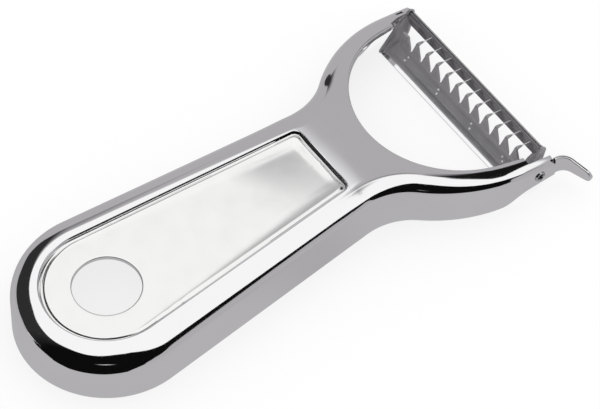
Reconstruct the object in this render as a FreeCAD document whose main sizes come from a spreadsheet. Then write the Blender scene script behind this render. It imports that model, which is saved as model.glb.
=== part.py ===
import FreeCAD
import Part
import Sketcher
import math
import os
from FreeCAD import Placement, Rotation, Vector

# Julienne peeler: a hollow pressed-steel frame with a swivelling blade unit between its two arms.
# Millimetres, +Y along the handle towards the blade, +X towards the arm with the horn, +Z up.
# The origin is the centre of the hang hole, on the floor of the sunk panel.
# The blade unit is drawn about its own pivot, along the blade's width, and then tilted into place.

# Driving sizes, in millimetres and degrees
SIZES = [
    # The pressing's sheet, depth and outline
    ("sheet_thickness", 1.0),
    ("frame_depth", 12.7),
    ("butt_radius", 20.6),
    ("neck_half_width", 14.75),
    ("neck_radius", 14.9),
    ("arm_half_width", 27.0),
    ("arm_radius", 35.0),
    ("arm_straight_from", 92.2),
    ("arm_tip", 99.7),
    ("arm_band", 4.8),
    # The rounding of the outer top edge where it passes each of these places
    ("butt_edge_radius", 4.4),
    ("side_edge_radius", 3.4),
    ("handle_edge_radius", 3.0),
    ("neck_edge_radius", 2.4),
    ("shoulder_edge_radius", 1.9),
    ("arm_edge_radius", 2.6),
    ("tip_edge_radius", 1.9),
    # The head curves down from the handle's flat top
    ("drop_start", 52.0),
    ("drop_radius", 205.0),
    # The sunk panel and the hang hole in it
    ("recess_depth", 0.7),
    ("recess_radius", 14.0),
    ("recess_head", 56.4),
    ("recess_head_half_width", 9.3),
    ("recess_corner", 1.6),
    ("hang_hole_radius", 7.5),
    # The throat between the arms, with its short turned-down flange
    ("throat_radius", 22.2),
    ("throat_centre", 91.3),
    ("throat_flare", 8.5),
    ("throat_edge_radius", 0.95),
    ("flange_depth", 2.0),
    # The rim rises below the arms' ends
    ("rim_rise", 2.2),
    ("rim_rise_start", 84.5),
    ("rim_rise_radius", 9.0),
    # Each arm's end is trimmed to its outer strip, clear of the blade's ears
    ("arm_strip_width", 2.0),
    ("trim_from_left", 92.9),
    ("trim_from_right", 93.8),
    ("slit_length", 1.6),
    ("slit_width", 0.5),
    ("slit_from_tip", 3.2),
    # The horn carries on from the right arm's outer wall
    ("horn_root", 3.0),
    ("horn_lead", 0.2),
    ("horn_bend_radius", 2.7),
    ("horn_turn", 74.0),
    ("horn_run", 5.2),
    ("horn_root_top", 4.7),
    ("horn_root_bottom", 9.6),
    ("horn_tip_top", 6.2),
    ("horn_tip_bottom", 9.0),
    # The pivot of the blade unit
    ("pivot_along", 95.5),
    ("pivot_below_panel", 7.35),
    ("pin_radius", 1.3),
    ("pin_bore_radius", 0.75),
    ("pin_slit", 0.5),
    ("pin_running_clearance", 0.06),
    ("pin_inboard", 0.6),
    ("pin_stand_out", 0.3),
    # The carrier: ears across the ends, guide and bar between them
    ("blade_tilt", 50.5),
    ("carrier_thickness", 0.6),
    ("ear_side_gap", 2.05),
    ("ear_near_reach", 6.95),
    ("ear_far_reach", 5.55),
    ("ear_above", 1.7),
    ("ear_crest", 0.8),
    ("ear_far_above", 0.95),
    ("ear_below", 2.0),
    ("ear_far_foot", 2.6),
    ("ear_far_below", 0.7),
    ("ear_near_foot", 4.35),
    ("ear_near_floor", 0.88),
    ("ear_corner", 0.3),
    ("lip_along", -6.7),
    ("lip_height", 1.55),
    ("lip_length", 1.0),
    ("lip_angle", -50.0),
    ("guide_length", 4.1),
    ("guide_angle", -17.5),
    ("bar_outer_along", 5.3),
    ("bar_outer_height", 0.5),
    ("bar_width", 1.5),
    ("bar_angle", 10.8),
    # The two blades on the carrier
    ("blade_end_clearance", 0.15),
    ("slicing_width", 2.2),
    ("slicing_thickness", 0.4),
    ("slicing_setback", 0.15),
    ("bevel_width", 1.0),
    ("julienne_thickness", 0.5),
    ("julienne_setback", 1.2),
    ("julienne_base", 2.9),
    ("julienne_end_gap", 2.45),
    ("tooth_length", 4.3),
    ("tooth_angle", 36.0),
    ("hook_length", 1.5),
    ("hook_angle", -52.0),
    ("tooth_pitch", 3.55),
    ("tooth_end_margin", 1.1),
    ("notch_root_width", 0.7),
    ("notch_root_height", 0.25),
    ("tip_width", 0.5),
    ("end_clip_height", 1.7),
    # Sizes that follow: the carrier fits between the arms, the toothed plate between the ears
    ("ear_half_span", "=arm_half_width - sheet_thickness - ear_side_gap"),
    ("julienne_half_length", "=ear_half_span - carrier_thickness - julienne_end_gap"),
    ("notch_count", "=floor((2 * (julienne_half_length - tooth_end_margin) - tip_width) / tooth_pitch)"),
]

doc = FreeCAD.newDocument("JuliennePeeler")
sheet = doc.addObject("Spreadsheet::Sheet", "Sizes")
for row, (alias, size) in enumerate(SIZES, start=1):
    sheet.set("A%d" % row, alias)
    sheet.set("B%d" % row, str(size))
    sheet.setAlias("B%d" % row, alias)
doc.recompute()

# Levels that several pieces share, as expressions on the sheet
RING = "Sizes.recess_depth"
RIM = "(Sizes.recess_depth - Sizes.frame_depth)"
WALL = "Sizes.sheet_thickness"
EAR_INSIDE = "(Sizes.ear_half_span - Sizes.carrier_thickness)"
THROAT_OFF_AXIS = "(Sizes.arm_half_width - Sizes.arm_band - Sizes.throat_radius)"
OVERCUT = "5"


def measure(expression):
    """The value of an expression on the sheet, as a plain number."""
    value = sheet.evalExpression(expression)
    return float(getattr(value, "Value", value))


def new_body(name):
    return doc.addObject("PartDesign::Body", name)


def new_sketch(body, name, plane, height=None):
    """A sketch on one of the body's own origin planes, raised along its normal by an expression."""
    sketch = body.newObject("Sketcher::SketchObject", name)
    support = [feature for feature in body.Origin.OriginFeatures if feature.Role == plane][0]
    sketch.AttachmentSupport = [(support, "")]
    sketch.MapMode = "FlatFace"
    if height:
        sketch.setExpression("AttachmentOffset.Base.z", height)
    return sketch


def bind(sketch, kind, *place, size):
    """Add a dimension whose value follows an expression on the sheet."""
    value = measure(size)
    if kind == "Angle":
        value = math.radians(value)
    index = sketch.addConstraint(Sketcher.Constraint(kind, *place, value))
    sketch.setExpression("Constraints[%d]" % index, size)


def relate(sketch, kind, *place):
    sketch.addConstraint(Sketcher.Constraint(kind, *place))


def add_line(sketch, start, end):
    return sketch.addGeometry(Part.LineSegment(Vector(*start, 0), Vector(*end, 0)), False)


def add_arc(sketch, centre, radius, first, last):
    """An arc drawn counter-clockwise between two angles in radians."""
    circle = Part.Circle(Vector(*centre, 0), Vector(0, 0, 1), radius)
    return sketch.addGeometry(Part.ArcOfCircle(circle, first, last), False)


def draw_polygon(sketch, corners):
    """A closed polygon whose corners are pairs of expressions."""
    points = [(measure(across), measure(along)) for across, along in corners]
    count = len(points)
    lines = [add_line(sketch, points[i], points[(i + 1) % count]) for i in range(count)]
    for i, (across, along) in enumerate(corners):
        relate(sketch, "Coincident", lines[i - 1], 2, lines[i], 1)
        bind(sketch, "DistanceX", lines[i], 1, size=across)
        bind(sketch, "DistanceY", lines[i], 1, size=along)


def draw_strip(sketch, start, runs, thickness, side):
    """A bent strip: runs of (length, angle) from a start point, with the thickness on one side.

    The first chain carries the lengths and angles. The second is parallel to it, on the left when
    side is 1 and on the right when side is -1, and square caps close both ends.
    """
    width = measure(thickness)
    chain = [Vector(measure(start[0]), measure(start[1]), 0)]
    headings = [math.radians(measure(angle)) for length, angle in runs]
    for (length, angle), heading in zip(runs, headings):
        step = Vector(math.cos(heading), math.sin(heading), 0) * measure(length)
        chain.append(chain[-1] + step)
    offset = []
    for i, corner in enumerate(chain):
        before = headings[max(i - 1, 0)]
        after = headings[min(i, len(headings) - 1)]
        middle = (before + after) / 2
        reach = side * width / math.cos((after - before) / 2)
        offset.append(corner + Vector(-math.sin(middle), math.cos(middle), 0) * reach)
    first = [add_line(sketch, (a.x, a.y), (b.x, b.y)) for a, b in zip(chain, chain[1:])]
    second = [add_line(sketch, (a.x, a.y), (b.x, b.y)) for a, b in zip(offset, offset[1:])]
    start_cap = add_line(sketch, (chain[0].x, chain[0].y), (offset[0].x, offset[0].y))
    end_cap = add_line(sketch, (chain[-1].x, chain[-1].y), (offset[-1].x, offset[-1].y))
    for lines in (first, second):
        for a, b in zip(lines, lines[1:]):
            relate(sketch, "Coincident", a, 2, b, 1)
        relate(sketch, "Coincident", lines[0], 1, start_cap, 1 if lines is first else 2)
        relate(sketch, "Coincident", lines[-1], 2, end_cap, 1 if lines is first else 2)
    bind(sketch, "DistanceX", first[0], 1, size=start[0])
    bind(sketch, "DistanceY", first[0], 1, size=start[1])
    for (length, angle), line, twin in zip(runs, first, second):
        bind(sketch, "Distance", line, size=length)
        bind(sketch, "Angle", line, size=angle)
        relate(sketch, "Parallel", line, twin)
    for line, twin in list(zip(first, second))[1:]:
        bind(sketch, "Distance", twin, 1, line, size=thickness)
    relate(sketch, "Perpendicular", start_cap, first[0])
    relate(sketch, "Perpendicular", end_cap, first[-1])
    bind(sketch, "Distance", start_cap, size=thickness)


def add_pad(body, name, sketch, length, symmetric=False):
    pad = body.newObject("PartDesign::Pad", name)
    pad.Profile = sketch
    pad.SideType = "Symmetric" if symmetric else "One side"
    pad.setExpression("Length", length)
    doc.recompute()
    return pad


def add_pocket(body, name, sketch, length=None, symmetric=False):
    """A cut from a sketch, right through unless a length is given. It must take something away."""
    before = body.Shape.Volume
    pocket = body.newObject("PartDesign::Pocket", name)
    pocket.Profile = sketch
    pocket.SideType = "Symmetric" if symmetric else "One side"
    if length:
        pocket.setExpression("Length", length)
    else:
        pocket.Type = "ThroughAll"
    doc.recompute()
    if not body.Shape.Volume < before:
        raise RuntimeError(name + " cuts nothing")
    return pocket


def add_fillet(body, name, edges, radius):
    base = body.Tip
    fillet = body.newObject("PartDesign::Fillet", name)
    fillet.Base = (base, edges)
    fillet.setExpression("Radius", radius)
    doc.recompute()
    return fillet


def face_normal(face, point):
    return face.normalAt(*face.Surface.parameter(point))


def top_edges(shape):
    """Names of the sharp edges where an upward face meets a side wall, but for the seam and the tip."""
    names = []
    tip = shape.BoundBox.YMax
    for number, edge in enumerate(shape.Edges, start=1):
        middle = edge.valueAt((edge.FirstParameter + edge.LastParameter) / 2)
        faces = shape.ancestorsOfType(edge, Part.Face)
        if len(faces) != 2 or middle.x < 0.001 or middle.y > tip - 0.001:
            continue
        rises = sorted(face_normal(face, middle).z for face in faces)
        if rises[1] > 0.9 and abs(rises[0]) < 0.1:
            names.append("Edge%d" % number)
    return names


def draw_frame_half(sketch, inset, end):
    """The right half of the frame's outline, set in from the outside by an expression.

    A round butt, a side tangent to it, the hollow of the neck, the swell of the arm and its straight end.
    """
    inward = measure(inset)
    butt = measure("Sizes.butt_radius") - inward
    hollow = measure("Sizes.neck_radius") + inward
    swell = measure("Sizes.arm_radius") - inward
    neck_x = measure("Sizes.neck_half_width + Sizes.neck_radius")
    arm_x = measure("Sizes.arm_half_width - Sizes.arm_radius")
    arm_y = measure("Sizes.arm_straight_from")
    neck_y = arm_y - math.sqrt((hollow + swell) ** 2 - (neck_x - arm_x) ** 2)
    side = math.atan2(neck_y, neck_x) - math.acos((butt + hollow) / math.hypot(neck_x, neck_y))
    meet = math.atan2(arm_y - neck_y, arm_x - neck_x)
    facing = Vector(math.cos(side), math.sin(side), 0)
    side_start = facing * butt
    side_end = Vector(neck_x, neck_y, 0) - facing * hollow
    outside = arm_x + swell
    finish = measure(end)
    butt_arc = add_arc(sketch, (0, 0), butt, -math.pi / 2, side)
    side_line = add_line(sketch, (side_start.x, side_start.y), (side_end.x, side_end.y))
    neck_arc = add_arc(sketch, (neck_x, neck_y), hollow, meet, math.pi + side)
    arm_arc = add_arc(sketch, (arm_x, arm_y), swell, meet - math.pi, 0)
    arm_line = add_line(sketch, (outside, arm_y), (outside, finish))
    end_line = add_line(sketch, (outside, finish), (0, finish))
    axis_line = add_line(sketch, (0, finish), (0, -butt))
    relate(sketch, "Coincident", butt_arc, 3, -1, 1)
    relate(sketch, "PointOnObject", butt_arc, 1, -2)
    relate(sketch, "Tangent", butt_arc, 2, side_line, 1)
    relate(sketch, "Tangent", side_line, 2, neck_arc, 2)
    relate(sketch, "Tangent", neck_arc, 1, arm_arc, 1)
    relate(sketch, "Tangent", arm_arc, 2, arm_line, 1)
    relate(sketch, "Vertical", arm_line)
    relate(sketch, "Coincident", arm_line, 2, end_line, 1)
    relate(sketch, "Horizontal", end_line)
    relate(sketch, "Coincident", end_line, 2, axis_line, 1)
    relate(sketch, "PointOnObject", axis_line, 1, -2)
    relate(sketch, "Coincident", axis_line, 2, butt_arc, 1)
    bind(sketch, "Radius", butt_arc, size="Sizes.butt_radius - " + inset)
    bind(sketch, "Radius", neck_arc, size="Sizes.neck_radius + " + inset)
    bind(sketch, "Radius", arm_arc, size="Sizes.arm_radius - " + inset)
    bind(sketch, "DistanceX", neck_arc, 3, size="Sizes.neck_half_width + Sizes.neck_radius")
    bind(sketch, "DistanceX", arm_arc, 3, size="Sizes.arm_half_width - Sizes.arm_radius")
    bind(sketch, "DistanceY", arm_arc, 3, size="Sizes.arm_straight_from")
    bind(sketch, "DistanceY", end_line, 2, size=end)


def draw_drop(sketch, depth):
    """The region above the head's curved top, lowered by an expression, in the plane of symmetry."""
    start = measure("Sizes.drop_start")
    centre = (start, measure(RING + " - Sizes.drop_radius"))
    radius = measure("Sizes.drop_radius - " + depth)
    far = measure("Sizes.arm_tip + " + OVERCUT)
    last = math.acos((far - start) / radius)
    low = centre[1] + radius * math.sin(last)
    high = measure(RING + " + " + OVERCUT)
    arc = add_arc(sketch, centre, radius, last, math.pi / 2)
    up = add_line(sketch, (start, centre[1] + radius), (start, high))
    across = add_line(sketch, (start, high), (far, high))
    down = add_line(sketch, (far, high), (far, low))
    relate(sketch, "Coincident", arc, 2, up, 1)
    relate(sketch, "Coincident", up, 2, across, 1)
    relate(sketch, "Coincident", across, 2, down, 1)
    relate(sketch, "Coincident", down, 2, arc, 1)
    relate(sketch, "Vertical", up)
    relate(sketch, "Horizontal", across)
    relate(sketch, "Vertical", down)
    bind(sketch, "DistanceX", arc, 3, size="Sizes.drop_start")
    bind(sketch, "DistanceY", arc, 3, size=RING + " - Sizes.drop_radius")
    bind(sketch, "Radius", arc, size="Sizes.drop_radius - " + depth)
    bind(sketch, "DistanceX", arc, 2, size="Sizes.drop_start")
    bind(sketch, "DistanceX", arc, 1, size="Sizes.arm_tip + " + OVERCUT)
    bind(sketch, "DistanceY", across, 1, size=RING + " + " + OVERCUT)


def draw_throat_half(sketch, growth):
    """The right half of the throat, grown outwards by an expression: a round bottom and a flaring side.

    The round's centre lies so far off the axis that each arm keeps its band of metal beside the throat.
    """
    off_axis = measure(THROAT_OFF_AXIS)
    centre = measure("Sizes.throat_centre")
    radius = measure("Sizes.throat_radius + " + growth)
    flare = math.radians(measure("Sizes.throat_flare"))
    end = measure("Sizes.arm_tip + " + OVERCUT)
    lowest = -math.sqrt(radius ** 2 - off_axis ** 2)
    start = (off_axis + radius * math.cos(flare), centre - radius * math.sin(flare))
    finish = start[0] + (end - start[1]) * math.tan(flare)
    bottom = add_arc(sketch, (off_axis, centre), radius, math.atan2(lowest, -off_axis), -flare)
    side = add_line(sketch, start, (finish, end))
    top = add_line(sketch, (finish, end), (0, end))
    axis = add_line(sketch, (0, end), (0, centre + lowest))
    relate(sketch, "PointOnObject", bottom, 1, -2)
    relate(sketch, "Tangent", bottom, 2, side, 1)
    relate(sketch, "Coincident", side, 2, top, 1)
    relate(sketch, "Horizontal", top)
    relate(sketch, "Coincident", top, 2, axis, 1)
    relate(sketch, "PointOnObject", axis, 1, -2)
    relate(sketch, "Coincident", axis, 2, bottom, 1)
    bind(sketch, "DistanceX", bottom, 3, size=THROAT_OFF_AXIS)
    bind(sketch, "DistanceY", bottom, 3, size="Sizes.throat_centre")
    bind(sketch, "Radius", bottom, size="Sizes.throat_radius + " + growth)
    bind(sketch, "Angle", side, size="90 - Sizes.throat_flare")
    bind(sketch, "DistanceY", top, 2, size="Sizes.arm_tip + " + OVERCUT)


def draw_recess_half(sketch, growth):
    """The right half of the sunk panel's outline, grown by an expression.

    A round end about the hang hole, a side tangent to it, a rounded corner and a square head end.
    """
    grown = measure(growth)
    radius = measure("Sizes.recess_radius") + grown
    corner = measure("Sizes.recess_corner") + grown
    corner_x = measure("Sizes.recess_head_half_width - Sizes.recess_corner")
    corner_y = measure("Sizes.recess_head - Sizes.recess_corner")
    facing = math.atan2(corner_y, corner_x) - math.acos((radius - corner) / math.hypot(corner_x, corner_y))
    outward = Vector(math.cos(facing), math.sin(facing), 0)
    side_start = outward * radius
    side_end = Vector(corner_x, corner_y, 0) + outward * corner
    end = corner_y + corner
    round_end = add_arc(sketch, (0, 0), radius, -math.pi / 2, facing)
    side = add_line(sketch, (side_start.x, side_start.y), (side_end.x, side_end.y))
    bend = add_arc(sketch, (corner_x, corner_y), corner, facing, math.pi / 2)
    head = add_line(sketch, (corner_x, end), (0, end))
    axis = add_line(sketch, (0, end), (0, -radius))
    relate(sketch, "Coincident", round_end, 3, -1, 1)
    relate(sketch, "PointOnObject", round_end, 1, -2)
    relate(sketch, "Tangent", round_end, 2, side, 1)
    relate(sketch, "Tangent", side, 2, bend, 1)
    relate(sketch, "Tangent", bend, 2, head, 1)
    relate(sketch, "Horizontal", head)
    relate(sketch, "Coincident", head, 2, axis, 1)
    relate(sketch, "PointOnObject", axis, 1, -2)
    relate(sketch, "Coincident", axis, 2, round_end, 1)
    bind(sketch, "Radius", round_end, size="Sizes.recess_radius + " + growth)
    bind(sketch, "Radius", bend, size="Sizes.recess_corner + " + growth)
    bind(sketch, "DistanceX", bend, 3, size="Sizes.recess_head_half_width - Sizes.recess_corner")
    bind(sketch, "DistanceY", bend, 3, size="Sizes.recess_head - Sizes.recess_corner")


def draw_rim(sketch):
    """The region below the rim where it rises towards the arms' ends, in two equal tangent arcs."""
    radius = measure("Sizes.rim_rise_radius")
    rise = measure("Sizes.rim_rise")
    turn = math.acos(1 - rise / (2 * radius))
    start = measure("Sizes.rim_rise_start")
    rim = measure(RIM)
    end = measure("Sizes.arm_tip + " + OVERCUT)
    low = measure(RIM + " - " + OVERCUT)
    half = radius * math.sin(turn)
    first = add_arc(sketch, (start, rim + radius), radius, -math.pi / 2, -math.pi / 2 + turn)
    second_centre = (start + 2 * half, rim + rise - radius)
    second = add_arc(sketch, second_centre, radius, math.pi / 2, math.pi / 2 + turn)
    flat = add_line(sketch, (start + 2 * half, rim + rise), (end, rim + rise))
    down = add_line(sketch, (end, rim + rise), (end, low))
    back = add_line(sketch, (end, low), (start, low))
    up = add_line(sketch, (start, low), (start, rim))
    relate(sketch, "Tangent", first, 2, second, 2)
    relate(sketch, "Tangent", second, 1, flat, 1)
    relate(sketch, "Horizontal", flat)
    relate(sketch, "Coincident", flat, 2, down, 1)
    relate(sketch, "Vertical", down)
    relate(sketch, "Coincident", down, 2, back, 1)
    relate(sketch, "Horizontal", back)
    relate(sketch, "Coincident", back, 2, up, 1)
    relate(sketch, "Vertical", up)
    relate(sketch, "Coincident", up, 2, first, 1)
    relate(sketch, "Equal", first, second)
    bind(sketch, "Radius", first, size="Sizes.rim_rise_radius")
    bind(sketch, "DistanceX", first, 3, size="Sizes.rim_rise_start")
    bind(sketch, "DistanceX", first, 1, size="Sizes.rim_rise_start")
    bind(sketch, "DistanceY", first, 1, size=RIM)
    bind(sketch, "DistanceY", flat, 2, size=RIM + " + Sizes.rim_rise")
    bind(sketch, "DistanceX", down, 2, size="Sizes.arm_tip + " + OVERCUT)
    bind(sketch, "DistanceY", back, 2, size=RIM + " - " + OVERCUT)


def edge_radius(vertex):
    """The rounding of the outer top edge where it passes one of its corner points."""
    if vertex.X < measure(WALL):
        return measure("Sizes.butt_edge_radius")
    if vertex.Y < measure("Sizes.drop_start") / 2:
        return measure("Sizes.side_edge_radius")
    if vertex.Y < measure("Sizes.drop_start") + measure(WALL):
        return measure("Sizes.handle_edge_radius")
    if vertex.X < measure("Sizes.neck_half_width") + measure(WALL):
        return measure("Sizes.neck_edge_radius")
    if vertex.X < measure("Sizes.arm_half_width") - 2 * measure(WALL):
        return measure("Sizes.shoulder_edge_radius")
    if vertex.Y < measure("Sizes.arm_tip") - measure(WALL):
        return measure("Sizes.arm_edge_radius")
    return measure("Sizes.tip_edge_radius")


def round_top(name, body, inset):
    """A rounding of the outer top edge whose radius changes along it, less an inset."""
    less = measure(inset)
    rounded = doc.addObject("Part::Fillet", name)
    rounded.Base = body
    edges = []
    for edge_name in top_edges(body.Shape):
        ends = sorted(body.Shape.getElement(edge_name).Vertexes, key=lambda vertex: vertex.Y)
        start, end = [edge_radius(vertex) - less for vertex in ends]
        edges.append((int(edge_name.replace("Edge", "")), start, end))
    rounded.Edges = edges
    doc.recompute()
    return rounded


def continue_body(name, base):
    """A new body that goes on from a finished shape."""
    body = new_body(name)
    body.BaseFeature = base
    doc.recompute()
    return body


def make_blank():
    """Half of the pressing's outside, still solid."""
    plain = new_body("PlainBlank")
    outline = new_sketch(plain, "BlankOutline", "XY_Plane", RIM)
    draw_frame_half(outline, "0", "Sizes.arm_tip")
    add_pad(plain, "BlankPad", outline, "Sizes.frame_depth")
    drop = new_sketch(plain, "BlankDrop", "YZ_Plane")
    draw_drop(drop, "0")
    add_pocket(plain, "BlankDropCut", drop, symmetric=True)
    body = continue_body("Blank", round_top("BlankEdge", plain, "0"))
    throat = new_sketch(body, "BlankThroat", "XY_Plane", RING)
    draw_throat_half(throat, "0")
    add_pocket(body, "BlankThroatCut", throat)
    add_fillet(body, "BlankThroatEdge", top_edges(body.Shape), "Sizes.throat_edge_radius")
    recess = new_sketch(body, "BlankRecess", "XY_Plane", RING)
    draw_recess_half(recess, "0")
    add_pocket(body, "BlankRecessCut", recess, "Sizes.recess_depth")
    rim = new_sketch(body, "BlankRim", "YZ_Plane")
    draw_rim(rim)
    add_pocket(body, "BlankRimCut", rim, symmetric=True)
    return body


def make_cavity():
    """Half of the hollow under the sheet, one wall inside the blank."""
    plain = new_body("PlainCavity")
    outline = new_sketch(plain, "CavityOutline", "XY_Plane", RIM + " - " + OVERCUT)
    draw_frame_half(outline, WALL, "Sizes.arm_tip + " + OVERCUT)
    add_pad(plain, "CavityPad", outline, "Sizes.frame_depth - " + WALL + " + " + OVERCUT)
    drop = new_sketch(plain, "CavityDrop", "YZ_Plane")
    draw_drop(drop, WALL)
    add_pocket(plain, "CavityDropCut", drop, symmetric=True)
    body = continue_body("Cavity", round_top("CavityEdge", plain, WALL))
    throat = new_sketch(body, "CavityThroat", "XY_Plane", RING)
    draw_throat_half(throat, WALL)
    add_pocket(body, "CavityThroatCut", throat)
    recess = new_sketch(body, "CavityRecess", "XY_Plane", RING)
    draw_recess_half(recess, WALL)
    add_pocket(body, "CavityRecessCut", recess, "Sizes.recess_depth + " + WALL)
    return body


def make_flange_trim():
    """Half of what is cut away below the throat's turned-down flange."""
    body = new_body("FlangeTrim")
    outline = new_sketch(body, "TrimOutline", "XY_Plane", RIM + " - " + OVERCUT)
    draw_throat_half(outline, "1.05 * " + WALL)
    add_pad(body, "TrimPad", outline, "Sizes.frame_depth - Sizes.flange_depth + " + OVERCUT)
    drop = new_sketch(body, "TrimDrop", "YZ_Plane")
    draw_drop(drop, "Sizes.flange_depth")
    add_pocket(body, "TrimDropCut", drop, symmetric=True)
    return body


def make_horn():
    """The horn: a strip of the wall's sheet, bent outwards in plan, whose depth tapers to a round tip."""
    plan = new_body("HornPlan")
    sketch = new_sketch(plan, "HornPath", "XY_Plane", RIM)
    wall = measure(WALL)
    outside = measure("Sizes.arm_half_width")
    root = measure("Sizes.arm_tip - Sizes.horn_root")
    bend = measure("Sizes.arm_tip + Sizes.horn_lead")
    radius = measure("Sizes.horn_bend_radius")
    turn = math.radians(measure("Sizes.horn_turn"))
    run = measure("Sizes.horn_run")
    centre = Vector(outside + radius, bend, 0)
    spoke = Vector(-math.cos(turn), math.sin(turn), 0)
    ahead = Vector(math.sin(turn), math.cos(turn), 0)
    near = centre + spoke * radius
    far = centre + spoke * (radius + wall)
    near_end = near + ahead * run
    far_end = far + ahead * run
    near_root = add_line(sketch, (outside, root), (outside, bend))
    far_root = add_line(sketch, (outside - wall, root), (outside - wall, bend))
    near_bend = add_arc(sketch, (centre.x, centre.y), radius, math.pi - turn, math.pi)
    far_bend = add_arc(sketch, (centre.x, centre.y), radius + wall, math.pi - turn, math.pi)
    near_run = add_line(sketch, (near.x, near.y), (near_end.x, near_end.y))
    far_run = add_line(sketch, (far.x, far.y), (far_end.x, far_end.y))
    root_cap = add_line(sketch, (outside, root), (outside - wall, root))
    tip_cap = add_line(sketch, (near_end.x, near_end.y), (far_end.x, far_end.y))
    sides = ((near_root, near_bend, near_run), (far_root, far_bend, far_run))
    for corner, (root_line, arc, run_line) in enumerate(sides, start=1):
        relate(sketch, "Tangent", root_line, 2, arc, 2)
        relate(sketch, "Tangent", arc, 1, run_line, 1)
        relate(sketch, "Coincident", root_line, 1, root_cap, corner)
        relate(sketch, "Coincident", run_line, 2, tip_cap, corner)
    relate(sketch, "Coincident", near_bend, 3, far_bend, 3)
    relate(sketch, "Vertical", near_root)
    relate(sketch, "Horizontal", root_cap)
    relate(sketch, "Perpendicular", tip_cap, near_run)
    bind(sketch, "DistanceX", near_root, 1, size="Sizes.arm_half_width")
    bind(sketch, "DistanceY", near_root, 1, size="Sizes.arm_tip - Sizes.horn_root")
    bind(sketch, "DistanceY", near_bend, 3, size="Sizes.arm_tip + Sizes.horn_lead")
    bind(sketch, "Radius", near_bend, size="Sizes.horn_bend_radius")
    bind(sketch, "Radius", far_bend, size="Sizes.horn_bend_radius + " + WALL)
    bind(sketch, "Angle", near_run, size="90 - Sizes.horn_turn")
    bind(sketch, "Distance", near_run, size="Sizes.horn_run")
    add_pad(plan, "HornPlanPad", sketch, "Sizes.frame_depth")

    side = new_body("HornSide")
    profile = new_sketch(side, "HornProfile", "XZ_Plane")
    start = "Sizes.arm_half_width - " + WALL
    tip = ("Sizes.arm_half_width + Sizes.horn_bend_radius * (1 - cos(Sizes.horn_turn * 1deg))"
           " + Sizes.horn_run * sin(Sizes.horn_turn * 1deg)")
    tip_radius = "(Sizes.horn_tip_bottom - Sizes.horn_tip_top) / 2"
    draw_polygon(profile, [
        (start, "-Sizes.horn_root_top"),
        (start, "-Sizes.horn_root_bottom"),
        (tip + " - " + tip_radius + " / 2", "-Sizes.horn_tip_bottom"),
        (tip, "-Sizes.horn_tip_bottom + " + tip_radius + " / 2"),
        (tip, "-Sizes.horn_tip_top - " + tip_radius + " / 2"),
        (tip + " - " + tip_radius + " / 2", "-Sizes.horn_tip_top"),
    ])
    add_pad(side, "HornSidePad", profile, "4 * Sizes.arm_tip", symmetric=True)
    horn = doc.addObject("Part::Common", "Horn")
    horn.Base = plan
    horn.Tool = side
    return horn


def make_cylinder(name, radius, length, along, height, rotation):
    """A cylinder drill that starts at a place given by expressions."""
    drill = doc.addObject("Part::Cylinder", name)
    drill.setExpression("Radius", radius)
    drill.setExpression("Height", length)
    drill.Placement = Placement(Vector(0, 0, 0), rotation)
    drill.setExpression("Placement.Base.y", along)
    drill.setExpression("Placement.Base.z", height)
    return drill


def make_box(name, corner, size):
    """A box given by the expressions of its lowest corner and of its three sizes."""
    box = doc.addObject("Part::Box", name)
    for field, expression in zip(("Length", "Width", "Height"), size):
        box.setExpression(field, expression)
    for field, expression in zip("xyz", corner):
        box.setExpression("Placement.Base." + field, expression)
    return box


def cut(name, base, tool):
    result = doc.addObject("Part::Cut", name)
    result.Base = base
    result.Tool = tool
    return result


def make_frame():
    """The whole pressing: both halves of the shell, the horn, the bores and the trimmed arm ends."""
    shell = cut("HalfShell", make_blank(), make_cavity())
    half = cut("Half", shell, make_flange_trim())
    mirrored = doc.addObject("Part::Mirroring", "OtherHalf")
    mirrored.Source = half
    mirrored.Normal = Vector(1, 0, 0)
    pressing = doc.addObject("Part::MultiFuse", "Pressing")
    pressing.Shapes = [half, mirrored, make_horn()]
    pressing.Refine = True

    upright = Rotation()
    across = Rotation(Vector(0, 1, 0), 90)
    hang_hole = make_cylinder("HangHole", "Sizes.hang_hole_radius", "4 * " + WALL,
                              "0", "-2 * " + WALL, upright)
    bore = make_cylinder("PivotBore", "Sizes.pin_radius + Sizes.pin_running_clearance",
                         "2 * Sizes.arm_half_width + 2 * " + OVERCUT, "Sizes.pivot_along",
                         "-Sizes.pivot_below_panel", across)
    bore.setExpression("Placement.Base.x", "-Sizes.arm_half_width - " + OVERCUT)
    depth = "Sizes.frame_depth + 2 * " + OVERCUT
    floor = RIM + " - " + OVERCUT
    inner = "(Sizes.arm_half_width - Sizes.arm_strip_width)"
    trim_left = make_box("TrimLeft", ("-" + inner, "Sizes.trim_from_left", floor),
                         (inner, "Sizes.arm_tip - Sizes.trim_from_left + " + OVERCUT, depth))
    trim_right = make_box("TrimRight", ("0", "Sizes.trim_from_right", floor),
                          (inner, "Sizes.arm_tip - Sizes.trim_from_right + " + OVERCUT, depth))
    slit_corner = ("-Sizes.arm_half_width + Sizes.arm_strip_width - 2 * Sizes.slit_width",
                   "Sizes.arm_tip - Sizes.slit_from_tip", "-Sizes.pivot_below_panel + Sizes.pin_radius")
    slit = make_box("Slit", slit_corner, ("Sizes.slit_width", "Sizes.slit_length", "Sizes.pivot_below_panel"))
    result = pressing
    for number, tool in enumerate((hang_hole, bore, trim_left, trim_right, slit), start=1):
        result = cut("FrameCut%d" % number, result, tool)
    result.Label = "frame"
    return result


def place_on_pivot(body):
    """Move a piece drawn about the pivot into the head, tilted as the blade unit rests."""
    body.Placement = Placement(Vector(0, 0, 0), Rotation(Vector(1, 0, 0), measure("Sizes.blade_tilt")))
    body.setExpression("Placement.Base.y", "Sizes.pivot_along")
    body.setExpression("Placement.Base.z", "-Sizes.pivot_below_panel")
    body.setExpression("Placement.Rotation.Angle", "Sizes.blade_tilt * 1deg")


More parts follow.
